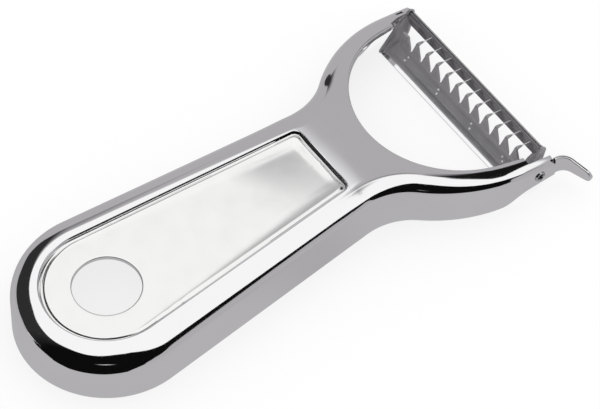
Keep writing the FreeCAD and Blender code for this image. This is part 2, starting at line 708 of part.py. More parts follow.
# The guide's fold and the surfaces that carry the two blades, as expressions in the blade unit's section
FOLD_ALONG = "(Sizes.lip_along + Sizes.lip_length * cos(Sizes.lip_angle * 1deg))"
FOLD_HEIGHT = "(Sizes.lip_height + Sizes.lip_length * sin(Sizes.lip_angle * 1deg))"
PLATE_ALONG = "(" + FOLD_ALONG + " + Sizes.julienne_setback * cos(Sizes.guide_angle * 1deg))"
PLATE_HEIGHT = "(" + FOLD_HEIGHT + " + Sizes.julienne_setback * sin(Sizes.guide_angle * 1deg))"
ROOT_ALONG = "(" + PLATE_ALONG + " + Sizes.julienne_base * cos(Sizes.guide_angle * 1deg))"
ROOT_HEIGHT = "(" + PLATE_HEIGHT + " + Sizes.julienne_base * sin(Sizes.guide_angle * 1deg))"
BACK_TILT = "(180 + Sizes.bar_angle)"


def make_carrier():
    """The bent bracket: a block across the blade's whole width, cut away but for its ears, guide and bar."""
    body = new_body("BladeCarrier")
    ear = new_sketch(body, "EarProfile", "YZ_Plane")
    draw_polygon(ear, [
        ("-Sizes.ear_near_reach", "Sizes.ear_near_floor"),
        ("-Sizes.ear_near_foot", "-Sizes.ear_below"),
        ("Sizes.ear_far_foot", "-Sizes.ear_below"),
        ("Sizes.ear_far_reach", "-Sizes.ear_far_below"),
        ("Sizes.ear_far_reach", "Sizes.ear_far_above"),
        ("Sizes.ear_crest", "Sizes.ear_above"),
        ("-Sizes.ear_near_reach", "Sizes.ear_above"),
    ])
    add_pad(body, "EarPad", ear, "2 * Sizes.ear_half_span", symmetric=True)
    corners = []
    for number, edge in enumerate(body.Shape.Edges, start=1):
        if abs(edge.tangentAt(edge.FirstParameter).x) > 0.9:
            corners.append("Edge%d" % number)
    add_fillet(body, "EarCorners", corners, "Sizes.ear_corner")
    between = new_sketch(body, "BetweenEars", "YZ_Plane")
    draw_polygon(between, [
        ("-Sizes.ear_near_reach - " + OVERCUT, "-Sizes.ear_below - " + OVERCUT),
        ("Sizes.ear_far_reach + " + OVERCUT, "-Sizes.ear_below - " + OVERCUT),
        ("Sizes.ear_far_reach + " + OVERCUT, "Sizes.ear_above + " + OVERCUT),
        ("-Sizes.ear_near_reach - " + OVERCUT, "Sizes.ear_above + " + OVERCUT),
    ])
    guide = [("Sizes.lip_length", "Sizes.lip_angle"), ("Sizes.guide_length", "Sizes.guide_angle")]
    draw_strip(between, ("Sizes.lip_along", "Sizes.lip_height"), guide, "Sizes.carrier_thickness", -1)
    bar_edge = ("Sizes.bar_outer_along", "Sizes.bar_outer_height")
    draw_strip(between, bar_edge, [("Sizes.bar_width", BACK_TILT)], "Sizes.carrier_thickness", 1)
    add_pocket(body, "BetweenEarsCut", between, "2 * " + EAR_INSIDE, symmetric=True)
    hole = new_sketch(body, "PinHole", "YZ_Plane")
    round_hole = Part.Circle(Vector(0, 0, 0), Vector(0, 0, 1), measure("Sizes.pin_radius"))
    circle = hole.addGeometry(round_hole, False)
    relate(hole, "Coincident", circle, 3, -1, 1)
    bind(hole, "Radius", circle, size="Sizes.pin_radius")
    add_pocket(body, "PinHoleCut", hole, symmetric=True)
    place_on_pivot(body)
    body.Label = "blade_carrier"
    return body


def make_slicing_blade():
    """The straight blade: a thin strip that lies on the bar, ground to one bevel at its inner edge."""
    body = new_body("SlicingBlade")
    section = new_sketch(body, "SlicingSection", "YZ_Plane")
    along = "(Sizes.bar_outer_along - Sizes.slicing_setback * cos(Sizes.bar_angle * 1deg)%s%s)"
    height = "(Sizes.bar_outer_height - Sizes.slicing_setback * sin(Sizes.bar_angle * 1deg)%s%s)"
    edge_along = " - Sizes.slicing_width * cos(Sizes.bar_angle * 1deg)"
    edge_height = " - Sizes.slicing_width * sin(Sizes.bar_angle * 1deg)"
    top_along = " - Sizes.slicing_thickness * sin(Sizes.bar_angle * 1deg)"
    top_height = " + Sizes.slicing_thickness * cos(Sizes.bar_angle * 1deg)"
    bevel_along = " - (Sizes.slicing_width - Sizes.bevel_width) * cos(Sizes.bar_angle * 1deg)"
    bevel_height = " - (Sizes.slicing_width - Sizes.bevel_width) * sin(Sizes.bar_angle * 1deg)"
    draw_polygon(section, [
        (along % ("", ""), height % ("", "")),
        (along % (top_along, ""), height % (top_height, "")),
        (along % (bevel_along, top_along), height % (bevel_height, top_height)),
        (along % (edge_along, ""), height % (edge_height, "")),
    ])
    length = "2 * (" + EAR_INSIDE + " - Sizes.blade_end_clearance)"
    add_pad(body, "SlicingPad", section, length, symmetric=True)
    place_on_pivot(body)
    body.Label = "slicing_blade"
    return body


def make_julienne_blade():
    """The toothed plate: a base on the guide, teeth bent up from it, and tips hooked to the straight edge."""
    body = new_body("JulienneBlade")
    section = new_sketch(body, "JulienneSection", "YZ_Plane")
    runs = [
        ("Sizes.julienne_base", "Sizes.guide_angle"),
        ("Sizes.tooth_length", "Sizes.tooth_angle"),
        ("Sizes.hook_length", "Sizes.hook_angle"),
    ]
    draw_strip(section, (PLATE_ALONG, PLATE_HEIGHT), runs, "Sizes.julienne_thickness", 1)
    add_pad(body, "JuliennePad", section, "2 * Sizes.julienne_half_length", symmetric=True)

    def tooth_sketch(name):
        """A sketch in the plane of the teeth: across the blade, and up the teeth from their root."""
        sketch = new_sketch(body, name, "XY_Plane")
        turn = Rotation(Vector(1, 0, 0), measure("Sizes.tooth_angle"))
        sketch.AttachmentOffset = Placement(Vector(0, 0, 0), turn)
        sketch.setExpression("AttachmentOffset.Base.y", ROOT_ALONG)
        sketch.setExpression("AttachmentOffset.Base.z", ROOT_HEIGHT)
        sketch.setExpression("AttachmentOffset.Rotation.Angle", "Sizes.tooth_angle * 1deg")
        return sketch

    above = "Sizes.tooth_length + " + OVERCUT
    shoulder = "Sizes.tooth_length - Sizes.julienne_thickness"
    first = "(1 - Sizes.notch_count) / 2 * Sizes.tooth_pitch"
    root = "Sizes.notch_root_width / 2"
    gap = "(Sizes.tooth_pitch - Sizes.tip_width) / 2"
    notch = tooth_sketch("Notch")
    draw_polygon(notch, [
        (first + " - " + root, "Sizes.notch_root_height"),
        (first + " + " + root, "Sizes.notch_root_height"),
        (first + " + " + gap, shoulder),
        (first + " + " + gap, above),
        (first + " - " + gap, above),
        (first + " - " + gap, shoulder),
    ])
    notch_cut = add_pocket(body, "NotchCut", notch, symmetric=True)
    before = body.Shape.Volume
    pattern = body.newObject("PartDesign::LinearPattern", "Notches")
    pattern.Originals = [notch_cut]
    pattern.Direction = (notch, ["H_Axis"])
    pattern.setExpression("Length", "(Sizes.notch_count - 1) * Sizes.tooth_pitch")
    pattern.setExpression("Occurrences", "Sizes.notch_count")
    body.Tip = pattern
    doc.recompute()
    if not body.Shape.Volume < before:
        raise RuntimeError("the notch pattern cuts nothing")

    last_tip = "(Sizes.notch_count * Sizes.tooth_pitch + Sizes.tip_width) / 2"
    beyond = "Sizes.julienne_half_length + " + OVERCUT
    clips = tooth_sketch("EndClips")
    for sign in ("", "-"):
        draw_polygon(clips, [
            (sign + last_tip, shoulder),
            (sign + "Sizes.julienne_half_length", "Sizes.end_clip_height"),
            (sign + "(" + beyond + ")", "Sizes.end_clip_height"),
            (sign + "(" + beyond + ")", above),
            (sign + last_tip, above),
        ])
    add_pocket(body, "EndClipCut", clips, symmetric=True)
    place_on_pivot(body)
    body.Label = "julienne_blade"
    return body


def make_pin(name, side):
    """One slotted tubular pin, pressed into an ear and running in the arm's bore. Side is 1 or -1."""
    inner_end = "(" + EAR_INSIDE + " - Sizes.pin_inboard)"
    length = "Sizes.arm_half_width + Sizes.pin_stand_out - " + inner_end
    across = Rotation(Vector(0, 1, 0), 90)
    start = inner_end if side > 0 else "-Sizes.arm_half_width - Sizes.pin_stand_out"
    solid = make_cylinder(name + "Rod", "Sizes.pin_radius", length,
                          "Sizes.pivot_along", "-Sizes.pivot_below_panel", across)
    bore = make_cylinder(name + "Bore", "Sizes.pin_bore_radius", length,
                         "Sizes.pivot_along", "-Sizes.pivot_below_panel", across)
    for cylinder in (solid, bore):
        cylinder.setExpression("Placement.Base.x", start)
    tube = cut(name + "Tube", solid, bore)
    corner = (start, "Sizes.pivot_along - Sizes.pin_slit / 2", "-Sizes.pivot_below_panel")
    slit = make_box(name + "Slit", corner, (length, "Sizes.pin_slit", "2 * Sizes.pin_radius"))
    pin = cut(name, tube, slit)
    return pin


pin_left = make_pin("PinLeft", -1)
pin_left.Label = "pivot_pin_left"
pin_right = make_pin("PinRight", 1)
pin_right.Label = "pivot_pin_right"
pieces = [make_frame(), make_carrier(), make_slicing_blade(), make_julienne_blade(), pin_left, pin_right]
doc.recompute()

for item in doc.Objects:
    if "Invalid" in item.State or "Error" in item.State:
        raise RuntimeError("%s failed: %s" % (item.Name, item.State))
for piece in pieces:
    if piece.Shape.isNull() or not piece.Shape.isValid():
        raise RuntimeError(piece.Label + " has no valid shape")
    if len(piece.Shape.Solids) != 1:
        raise RuntimeError("%s has %d solids" % (piece.Label, len(piece.Shape.Solids)))

os.makedirs("parts", exist_ok=True)
for piece in pieces:
    piece.Shape.exportStep("parts/" + piece.Label + ".step")
    box = piece.Shape.BoundBox
    print("%-16s volume %8.1f  x %.2f to %.2f  y %.2f to %.2f  z %.2f to %.2f" % (
        piece.Label, piece.Shape.Volume, box.XMin, box.XMax, box.YMin, box.YMax, box.ZMin, box.ZMax))
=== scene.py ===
import bmesh
import bpy
import numpy as np
from mathutils import Matrix, Vector


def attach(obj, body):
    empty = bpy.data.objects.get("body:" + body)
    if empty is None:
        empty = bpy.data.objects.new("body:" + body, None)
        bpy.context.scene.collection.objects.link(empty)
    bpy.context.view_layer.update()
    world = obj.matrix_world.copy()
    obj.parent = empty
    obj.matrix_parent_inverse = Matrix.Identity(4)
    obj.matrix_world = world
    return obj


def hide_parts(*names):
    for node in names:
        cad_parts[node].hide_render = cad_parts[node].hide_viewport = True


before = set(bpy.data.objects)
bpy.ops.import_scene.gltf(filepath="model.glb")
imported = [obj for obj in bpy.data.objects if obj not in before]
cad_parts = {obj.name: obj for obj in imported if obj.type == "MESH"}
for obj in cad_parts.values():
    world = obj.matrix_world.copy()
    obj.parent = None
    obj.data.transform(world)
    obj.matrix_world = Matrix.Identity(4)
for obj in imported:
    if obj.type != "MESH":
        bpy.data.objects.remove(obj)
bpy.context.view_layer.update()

scene = bpy.context.scene

# ---- The pressing --------------------------------------------------
# The peeler's body: one blank of stainless sheet, deep-drawn into a hollow handle, a neck and two arms.
# It is polished bright, and the other pieces are fitted to it. Sizes are in millimetres.
MM = 0.001
SHEET = 0.94
RING_LEVEL, RIM_LEVEL = 0.7, -12.0
BUTT_RADIUS, ARM_TIP = 20.6, 99.7
NECK_CENTRE, NECK_RADIUS = np.array([29.65, 59.451]), 14.9
ARM_CENTRE, ARM_RADIUS = np.array([-8.0, 92.2]), 35.0
ARM_SIDE = ARM_CENTRE[0] + ARM_RADIUS
DROP_START, DROP_RADIUS = 52.0, 205.0
RECESS_RADIUS, RECESS_CORNER, RECESS_CORNER_CENTRE = 14.0, 1.6, np.array([7.7, 54.8])
THROAT_CENTRE, THROAT_RADIUS, THROAT_FLARE = np.array([0.0, 91.3]), 22.2, 8.5
RING_EDGE, RING_SET, RING_SLOPE = 0.4, 0.74, 28.0
THROAT_EDGE, FLANGE_DEPTH, RECESS_DEPTH = 0.45, 1.2, 1.3
RIM_RISE, RIM_RISE_START, RIM_RISE_RADIUS = 2.2, 84.5, 9.0
TRIM_LEFT, TRIM_RIGHT = 92.9, 93.8
STRIP_START, STRIP_EASE, STRIP_MIDDLE = 84.0, 8.0, 95.2
# Where the outline is tied to the recess's corner, its head's middle and the throat
TIED_SIDE, TIED_NECK = [53.6, 55.4, 57.4], 61.5
RUN_POINTS = 700
FIRST_RUNS, LAST_RUNS = slice(2 * RUN_POINTS), slice(2 * RUN_POINTS, None)
SECOND_RUN = slice(RUN_POINTS, 2 * RUN_POINTS)


def ray(angle):
    """The direction (cos a, sin a) of each angle in degrees."""
    return np.stack([np.cos(np.radians(angle)), np.sin(np.radians(angle))], axis=-1)


def arc_run(centre, radius, first, last, facing=1):
    """An arc: centre + radius * (cos a, sin a), with normals along the rays, or against them for -1."""
    rays = ray(np.linspace(first, last, RUN_POINTS))
    return np.hstack([centre + radius * rays, facing * rays])


def line_run(start, end):
    """A straight run from start to end, with normals to the right of the way."""
    start, end = np.array(start, float), np.array(end, float)
    way = (end - start) / np.linalg.norm(end - start)
    share = np.linspace(0, 1, RUN_POINTS)[:, None]
    return np.hstack([start + share * (end - start), np.tile([way[1], -way[0]], (RUN_POINTS, 1))])


def path_of(*runs):
    """Runs joined into one path: distance along it, rows of (x, y, normal x, normal y), and run ends."""
    rows = np.vstack(runs)
    steps = np.hypot(*np.diff(rows[:, :2], axis=0).T)
    length = np.r_[0, np.cumsum(steps)]
    ends = length[np.cumsum([len(run) for run in runs]) - 1]
    keep = np.r_[True, steps > 1e-9]
    return length[keep], rows[keep], ends


def along(path, distance):
    """The path's rows at some distances along it, read off in proportion between its points."""
    return np.stack([np.interp(distance, path[0], column) for column in path[1].T], axis=1)


def place_at(path, y, part):
    """How far along a path it comes to y, looked for in one part of its points."""
    return np.interp(y, path[1][part, 1], path[0][part])


def fan(stops, steps):
    """Distances from stop to stop, each leg in its number of even steps, with the last stop included."""
    legs = [np.linspace(*leg, endpoint=False) for leg in zip(stops, stops[1:], steps)]
    return np.concatenate(legs + [stops[-1:]])


def numbered(points):
    """The numbers of a grid's points, in the shape of the grid."""
    return np.arange(points[..., 0].size).reshape(points.shape[:-1])


def cells(index):
    """The four-cornered faces between neighbours on a grid of point numbers."""
    return np.stack([index[..., :-1, :-1], index[..., 1:, :-1],
                     index[..., 1:, 1:], index[..., :-1, 1:]], axis=-1)


def band(first, second):
    """The four-cornered faces between two lines of point numbers that run side by side."""
    return np.stack([first[..., :-1], first[..., 1:], second[..., 1:], second[..., :-1]], axis=-1)


def tube(index):
    """The faces round a tube, whose rings are the rows of a grid of point numbers, and its flat ends."""
    turned = np.roll(index, -1, axis=1)
    sides = np.stack([index[:-1], turned[:-1], turned[1:], index[1:]], axis=-1)
    return [sides.reshape(-1, 4), index[:1, ::-1], index[-1:]]


side_turn = np.degrees(np.arctan2(NECK_CENTRE[1], NECK_CENTRE[0])
                       - np.arccos((BUTT_RADIUS + NECK_RADIUS) / np.hypot(*NECK_CENTRE)))
meet_turn = np.degrees(np.arctan2(*(ARM_CENTRE - NECK_CENTRE)[::-1]))
outline = path_of(
    arc_run(np.zeros(2), BUTT_RADIUS, -90, side_turn),
    line_run(BUTT_RADIUS * ray(side_turn), NECK_CENTRE - NECK_RADIUS * ray(side_turn)),
    arc_run(NECK_CENTRE, NECK_RADIUS, 180 + side_turn, meet_turn, -1),
    arc_run(ARM_CENTRE, ARM_RADIUS, meet_turn - 180, 0),
    line_run((ARM_SIDE, ARM_CENTRE[1]), (ARM_SIDE, ARM_TIP)))
recess_turn = np.degrees(
    np.arctan2(*RECESS_CORNER_CENTRE[::-1])
    - np.arccos((RECESS_RADIUS - RECESS_CORNER) / np.hypot(*RECESS_CORNER_CENTRE)))
recess_facing = ray(recess_turn)
recess_head = RECESS_CORNER_CENTRE[1] + RECESS_CORNER
recess = path_of(
    arc_run(np.zeros(2), RECESS_RADIUS, -90, recess_turn),
    line_run(RECESS_RADIUS * recess_facing, RECESS_CORNER_CENTRE + RECESS_CORNER * recess_facing),
    arc_run(RECESS_CORNER_CENTRE, RECESS_CORNER, recess_turn, 90),
    line_run((RECESS_CORNER_CENTRE[0], recess_head), (0, recess_head)))
flare_start = THROAT_CENTRE + THROAT_RADIUS * ray(-THROAT_FLARE)
flare_end = (flare_start[0] + (ARM_TIP - flare_start[1]) * np.tan(np.radians(THROAT_FLARE)), ARM_TIP)
throat = path_of(
    arc_run(THROAT_CENTRE, THROAT_RADIUS, -90, -THROAT_FLARE), line_run(flare_start, flare_end))

# The outer top edge is crowned: how far it falls and how far in it reaches, from the butt to the arm's tip
crown_places = [0, outline[2][0], place_at(outline, DROP_START, FIRST_RUNS), *outline[2][1:]]
crown_falls = [4.4, 3.4, 3.0, 2.5, 2.65, 2.3, 1.9]
crown_reaches = [4.5, 4.8, 5.0, 4.9, 4.7, 3.7, 3.1]


def crown_law(distance, values):
    """A value of the crown at some distances along the outline, as a mean over a window of its length."""
    points, window = 800, 41
    even = np.linspace(0, outline[2][-1], points)
    law = np.pad(np.interp(even, crown_places, values), window // 2, mode="edge")
    return np.interp(distance, even, np.convolve(law, np.full(window, 1 / window), mode="valid"))


def sag(radius, past):
    """How far a circle falls below its top, at a distance past it."""
    return radius - np.sqrt(radius ** 2 - past ** 2)


def top_level(y):
    """The ring's level, which falls away on a large circle beyond the handle."""
    return RING_LEVEL - sag(DROP_RADIUS, np.maximum(y - DROP_START, 0))


def rim_level(y):
    """The rim's level, which rises below the arms' ends in two equal arcs."""
    turn = np.arccos(1 - RIM_RISE / (2 * RIM_RISE_RADIUS))
    half = RIM_RISE_RADIUS * np.sin(turn)
    low = sag(RIM_RISE_RADIUS, np.clip(y - RIM_RISE_START, 0, half))
    high = RIM_RISE - sag(RIM_RISE_RADIUS, np.clip(RIM_RISE_START + 2 * half - y, 0, half))
    return RIM_LEVEL + np.where(y < RIM_RISE_START + half, low, high)


def inside_of(path, points):
    """How far points lie inside a path, measured along its nearest normal, and where on it that is."""
    skip = 3
    marks = path[1][::skip, :2]
    near = skip * np.argmin(np.sum(marks ** 2, axis=1) - 2 * points @ marks.T, axis=1)
    rows = path[1][near]
    return np.sum((rows[:, :2] - points) * rows[:, 2:], axis=1), near


def pressing_half(trim, strip_widths):
    """Half of the pressing: points of its outside and then of its inside, one sheet apart, and its faces.

    Stations run along the outline from the butt to the arm's tip. Each is tied to a place on the inner
    border: the recess, then the axis, then the throat. The section goes up the wall, over the crown, which
    is a quarter of an ellipse, across the top, round the border's edge, and down the recess's slope or the
    throat's flange. Past the trim only an outer strip goes on, of the widths given from there to the tip.
    """
    recess_steps, axis_steps, axis_power, throat_steps = (60, 44, 10, 14), 17, 1.6, 70
    wall_steps, crown_steps, top_steps, edge_steps, skirt_steps = 8, 14, 18, 8, 3
    least_squareness, widest_reach = 0.35, 0.97

    marks = [outline[2][0], *place_at(outline, TIED_SIDE, FIRST_RUNS)]
    neck_mark = place_at(outline, TIED_NECK, LAST_RUNS)
    on_recess = along(recess, fan([0, *recess[2]], recess_steps))
    at_recess = fan([0, *marks], recess_steps)
    share = np.linspace(0, 1, axis_steps + 1)[1:-1] ** axis_power
    at_axis = marks[-1] + (neck_mark - marks[-1]) * share
    axis_start = recess_head + RING_SET
    axis_end = THROAT_CENTRE[1] - THROAT_RADIUS - THROAT_EDGE
    axis_y = axis_start + (axis_end - axis_start) * share
    on_axis = np.stack([0 * axis_y, axis_y, 0 * axis_y, 0 * axis_y], axis=1)
    arm_rows = np.r_[fan([flare_start[1], TRIM_LEFT], [9]), np.linspace(TRIM_RIGHT, ARM_TIP, 12)]
    at_arm = place_at(outline, arm_rows, LAST_RUNS)
    on_arm = place_at(throat, arm_rows, slice(RUN_POINTS, None))
    at_throat = np.r_[np.linspace(neck_mark, at_arm[0], throat_steps, endpoint=False), at_arm]
    on_throat = along(throat, np.r_[np.linspace(0, throat[2][0], throat_steps, endpoint=False), on_arm])
    kind = np.repeat([0, 1, 2], [len(at_recess), len(at_axis), len(at_throat)])
    place = np.concatenate([at_recess, at_axis, at_throat])
    outer, inner = along(outline, place), np.vstack([on_recess, on_axis, on_throat])
    start, normal, end, border = outer[:, :2], outer[:, 2:], inner[:, :2], inner[:, 2:]
    rounding = np.choose(kind, [RING_EDGE, 0.0, THROAT_EDGE])[:, None]
    setting = np.choose(kind, [RING_SET, 0.0, THROAT_EDGE])[:, None]
    steep = np.radians(np.choose(kind, [RING_SLOPE, 0.0, 0.0]))[:, None]
    way = end + border * setting - start
    span = np.linalg.norm(way, axis=1)[:, None]
    way = way / span
    ease = np.clip((start[:, 1:] - STRIP_START) / STRIP_EASE, 0, 1)
    squareness = np.maximum(-np.sum(normal * way, axis=1), least_squareness)[:, None]
    strip_width = np.interp(start[:, 1:], [trim, STRIP_MIDDLE, ARM_TIP], strip_widths)
    crown_reach = crown_law(place, crown_reaches)[:, None]
    first_reach = (crown_reach * (1 - ease) + strip_width * ease) / squareness
    first_reach = np.minimum(first_reach, widest_reach * span)

    turn = np.radians(np.linspace(0, 90, crown_steps + 1))[None, 1:]
    near = first_reach * (1 - np.cos(turn))
    far = first_reach + (span - first_reach) * np.linspace(0, 1, top_steps + 1)[None, 1:]
    plan = start[:, None] + way[:, None] * np.hstack([near, far])[:, :, None]
    places = plan.reshape(-1, 2)
    depth, nearest = inside_of(outline, places)
    fall, reach = (crown_law(outline[0][nearest], values) for values in (crown_falls, crown_reaches))
    lean = np.clip(1 - depth / reach, 0, 1)
    rise = np.sqrt(1 - lean ** 2)
    slope = np.maximum(places[:, 1] - DROP_START, 0) / DROP_RADIUS
    level = top_level(places[:, 1]) - fall * (1 - rise)
    side = outline[1][nearest, 2:] * (lean * fall / reach)[:, None]
    tilt = np.stack([side[:, 0], side[:, 1] + slope * rise, rise], axis=1)
    tilt /= np.linalg.norm(tilt, axis=1)[:, None]
    top = np.dstack([plan, level.reshape(plan.shape[:2])])
    top_tilt = tilt.reshape(top.shape)

    wall_rows = wall_steps + 1
    crown = top_level(start[:, 1:]) - crown_law(place, crown_falls)[:, None]
    floor = rim_level(start[:, 1:])
    wall = np.dstack([np.repeat(start[:, None], wall_rows, axis=1),
                      floor + (crown - floor) * np.linspace(0, 1, wall_rows)[None]])
    wall_tilt = np.repeat(np.insert(normal, 2, 0, axis=1)[:, None], wall_rows, axis=1)

    over = np.pi / 2 + (steep - np.pi / 2) * np.linspace(0, 1, edge_steps + 1)[None, 1:]
    roll_plan = end[:, None] + border[:, None] * (setting - rounding * np.cos(over))[:, :, None]
    roll = np.dstack([roll_plan, top_level(roll_plan[:, :, 1]) - rounding * (1 - np.sin(over))])
    roll_tilt = np.dstack([-border[:, None] * np.cos(over)[:, :, None], np.sin(over)])
    hang = np.choose(kind, [RECESS_DEPTH, SHEET, FLANGE_DEPTH])[:, None] - rounding * (1 - np.sin(steep))
    drop = hang * np.linspace(0, 1, skirt_steps + 1)[None, 1:]
    skirt_plan = roll_plan[:, -1:] - border[:, None] * (drop * np.tan(steep))[:, :, None]
    skirt = np.dstack([skirt_plan, roll[:, -1:, 2] - drop])
    skirt_tilt = np.hstack([-border * np.cos(steep), np.sin(steep)])
    skirt_tilt = np.repeat(skirt_tilt[:, None], skirt_steps, axis=1)

    outside = np.concatenate([wall, top, roll, skirt], axis=1)
    inside = outside - SHEET * np.concatenate([wall_tilt, top_tilt, roll_tilt, skirt_tilt], axis=1)
    first_roll = wall.shape[1] + top.shape[1]
    inside[kind == 0, first_roll:, :2] = outside[kind == 0, first_roll:, :2]
    inside[kind == 0, first_roll:, 2] = outside[kind == 0, -1:, 2]
    inside[np.abs(outside[:, :, 0]) < 1e-6, 0] = 0

    shell = np.stack([outside, inside])
    index, back = numbered(shell)
    rows, columns = index.shape
    strip = wall_steps + crown_steps
    cut_row = np.argmin(np.abs(start[:, 1] - trim))
    i, k = np.ogrid[:rows - 1, :columns - 1]
    same = (kind[i] == kind[i + 1]) & (kind[i] != 1)
    shown = ((k < first_roll - 1) | same) & ((i < cut_row) | (k < strip))
    lip = (kind == 2) & (np.arange(rows) <= cut_row)
    faces = np.vstack([
        cells(index)[shown], cells(back)[shown][:, ::-1],
        band(index[:, 0], back[:, 0]), band(index[lip, -1], back[lip, -1]),
        band(index[cut_row, strip:], back[cut_row, strip:]),
        band(index[cut_row:, strip], back[cut_row:, strip]),
        band(index[-1, :strip + 1], back[-1, :strip + 1])])
    return shell.reshape(-1, 3), faces


def placed(name, data):
    """A new object in the scene."""
    made = bpy.data.objects.new(name, data)
    scene.collection.objects.link(made)
    return made


def closed_piece(name, points, faces, sharp=30.0):
    """A mesh object from points in millimetres and groups of faces, each group an array of point numbers.

    Doubles are merged, loose points dropped and faces turned outwards. Edges above an angle stay sharp.
    """
    mesh = bpy.data.meshes.new(name)
    mesh.from_pydata((points * MM).tolist(), [], sum((group.tolist() for group in faces), []))
    shape = bmesh.new()
    shape.from_mesh(mesh)
    bmesh.ops.remove_doubles(shape, verts=shape.verts, dist=2e-7)
    bmesh.ops.dissolve_degenerate(shape, edges=shape.edges, dist=1e-8)
    bmesh.ops.delete(shape, geom=[v for v in shape.verts if not v.link_faces], context="VERTS")
    bmesh.ops.recalc_face_normals(shape, faces=shape.faces)
    shape.to_mesh(mesh)
    shape.free()
    mesh.shade_smooth()
    mesh.set_sharp_from_angle(angle=np.radians(sharp))
    return placed(name, mesh)


right_points, right_faces = pressing_half(TRIM_RIGHT, [2.0, 2.0, 2.0])
left_points, left_faces = pressing_half(TRIM_LEFT, [3.4, 2.7, 2.3])
pressing = closed_piece("pressing", np.vstack([right_points, left_points * [-1, 1, 1]]),
                        [right_faces, left_faces[:, ::-1] + len(right_points)])

# The bores for the pins are drilled across both arms, and a short slit is cut in the left arm's strip
PIVOT = np.array([0.0, 95.5, -7.35])
BORE_RADIUS, DRILL_SIDES, DRILL_REACH = 1.36, 48, np.array([40.0, 0.0, 0.0])
SLIT_LOW, SLIT_HIGH, SLIT_MARGIN = np.array([-25.7, 95.7, -6.0]), np.array([-25.15, 97.4, 2.0]), 0.02
drill_rays = ray(np.linspace(0, 360, DRILL_SIDES, endpoint=False))
drill_ring = BORE_RADIUS * np.insert(drill_rays, 0, 0, axis=1) + PIVOT
drill_points = np.stack([drill_ring - DRILL_REACH, drill_ring + DRILL_REACH])
drill = closed_piece("drill", drill_points.reshape(-1, 3), tube(numbered(drill_points)))
slit_points = np.indices((2, 2, 2)).reshape(3, -1).T * (SLIT_HIGH - SLIT_LOW) + SLIT_LOW
slit_faces = np.array([[0, 1, 3, 2], [4, 6, 7, 5], [0, 4, 5, 1], [2, 3, 7, 6], [0, 2, 6, 4], [1, 5, 7, 3]])
slitter = closed_piece("slitter", slit_points, [slit_faces])
for cutter in (drill, slitter):
    cutting = pressing.modifiers.new("cut", "BOOLEAN")
    cutting.operation, cutting.solver, cutting.object = "DIFFERENCE", "EXACT", cutter
shaped = bpy.data.meshes.new_from_object(pressing.evaluated_get(bpy.context.evaluated_depsgraph_get()))
pressing.modifiers.clear()
pressing.data = shaped
for cutter in (drill, slitter):
    bpy.data.objects.remove(cutter)
shaped.set_sharp_from_angle(angle=np.radians(30))


def shader(name, colour, roughness, metallic=1.0):
    """A new material: its nodes, its links and its Principled shader."""
    material = bpy.data.materials.new(name)
    material.use_nodes = True
    nodes, links = material.node_tree.nodes, material.node_tree.links
    principled = nodes["Principled BSDF"]
    principled.inputs["Base Color"].default_value = (*colour, 1)
    principled.inputs["Roughness"].default_value = roughness
    principled.inputs["Metallic"].default_value = metallic
    return material, nodes, links, principled


def finishing_group():
    """The marks of a metal finish: fine lines along one way, soft clouds, and a roughness by the clouds.

    Lines are a noise squeezed across the way and drawn out along it, and clouds are a plain noise.
    """
    group = bpy.data.node_groups.new("metal_finish", "ShaderNodeTree")
    face = group.interface
    face.new_socket(name="Vector", in_out="INPUT", socket_type="NodeSocketVector")
    for socket in ("Line Fineness", "Cloud Size", "Low Roughness", "High Roughness"):
        face.new_socket(name=socket, in_out="INPUT", socket_type="NodeSocketFloat")
    for socket in ("Lines", "Clouds", "Roughness"):
        face.new_socket(name=socket, in_out="OUTPUT", socket_type="NodeSocketFloat")
    nodes, links = group.nodes, group.links
    enter, leave = nodes.new("NodeGroupInput"), nodes.new("NodeGroupOutput")
    noises = []
    for length_scale, detail, size in ((22, 3, "Line Fineness"), (1000, 4, "Cloud Size")):
        stretch, noise = nodes.new("ShaderNodeMapping"), nodes.new("ShaderNodeTexNoise")
        stretch.inputs["Scale"].default_value = (1000, length_scale, 1000)
        noise.inputs["Detail"].default_value = detail
        links.new(enter.outputs["Vector"], stretch.inputs["Vector"])
        links.new(stretch.outputs["Vector"], noise.inputs["Vector"])
        links.new(enter.outputs[size], noise.inputs["Scale"])
        noises.append(noise.outputs["Fac"])
    lines, clouds = noises
    spread = nodes.new("ShaderNodeMapRange")
    spread.inputs["From Min"].default_value, spread.inputs["From Max"].default_value = 0.3, 0.7
    links.new(clouds, spread.inputs["Value"])
    links.new(enter.outputs["Low Roughness"], spread.inputs["To Min"])
    links.new(enter.outputs["High Roughness"], spread.inputs["To Max"])
    links.new(lines, leave.inputs["Lines"])
    links.new(clouds, leave.inputs["Clouds"])
    links.new(spread.outputs["Result"], leave.inputs["Roughness"])
    return group


metal_finish = finishing_group()


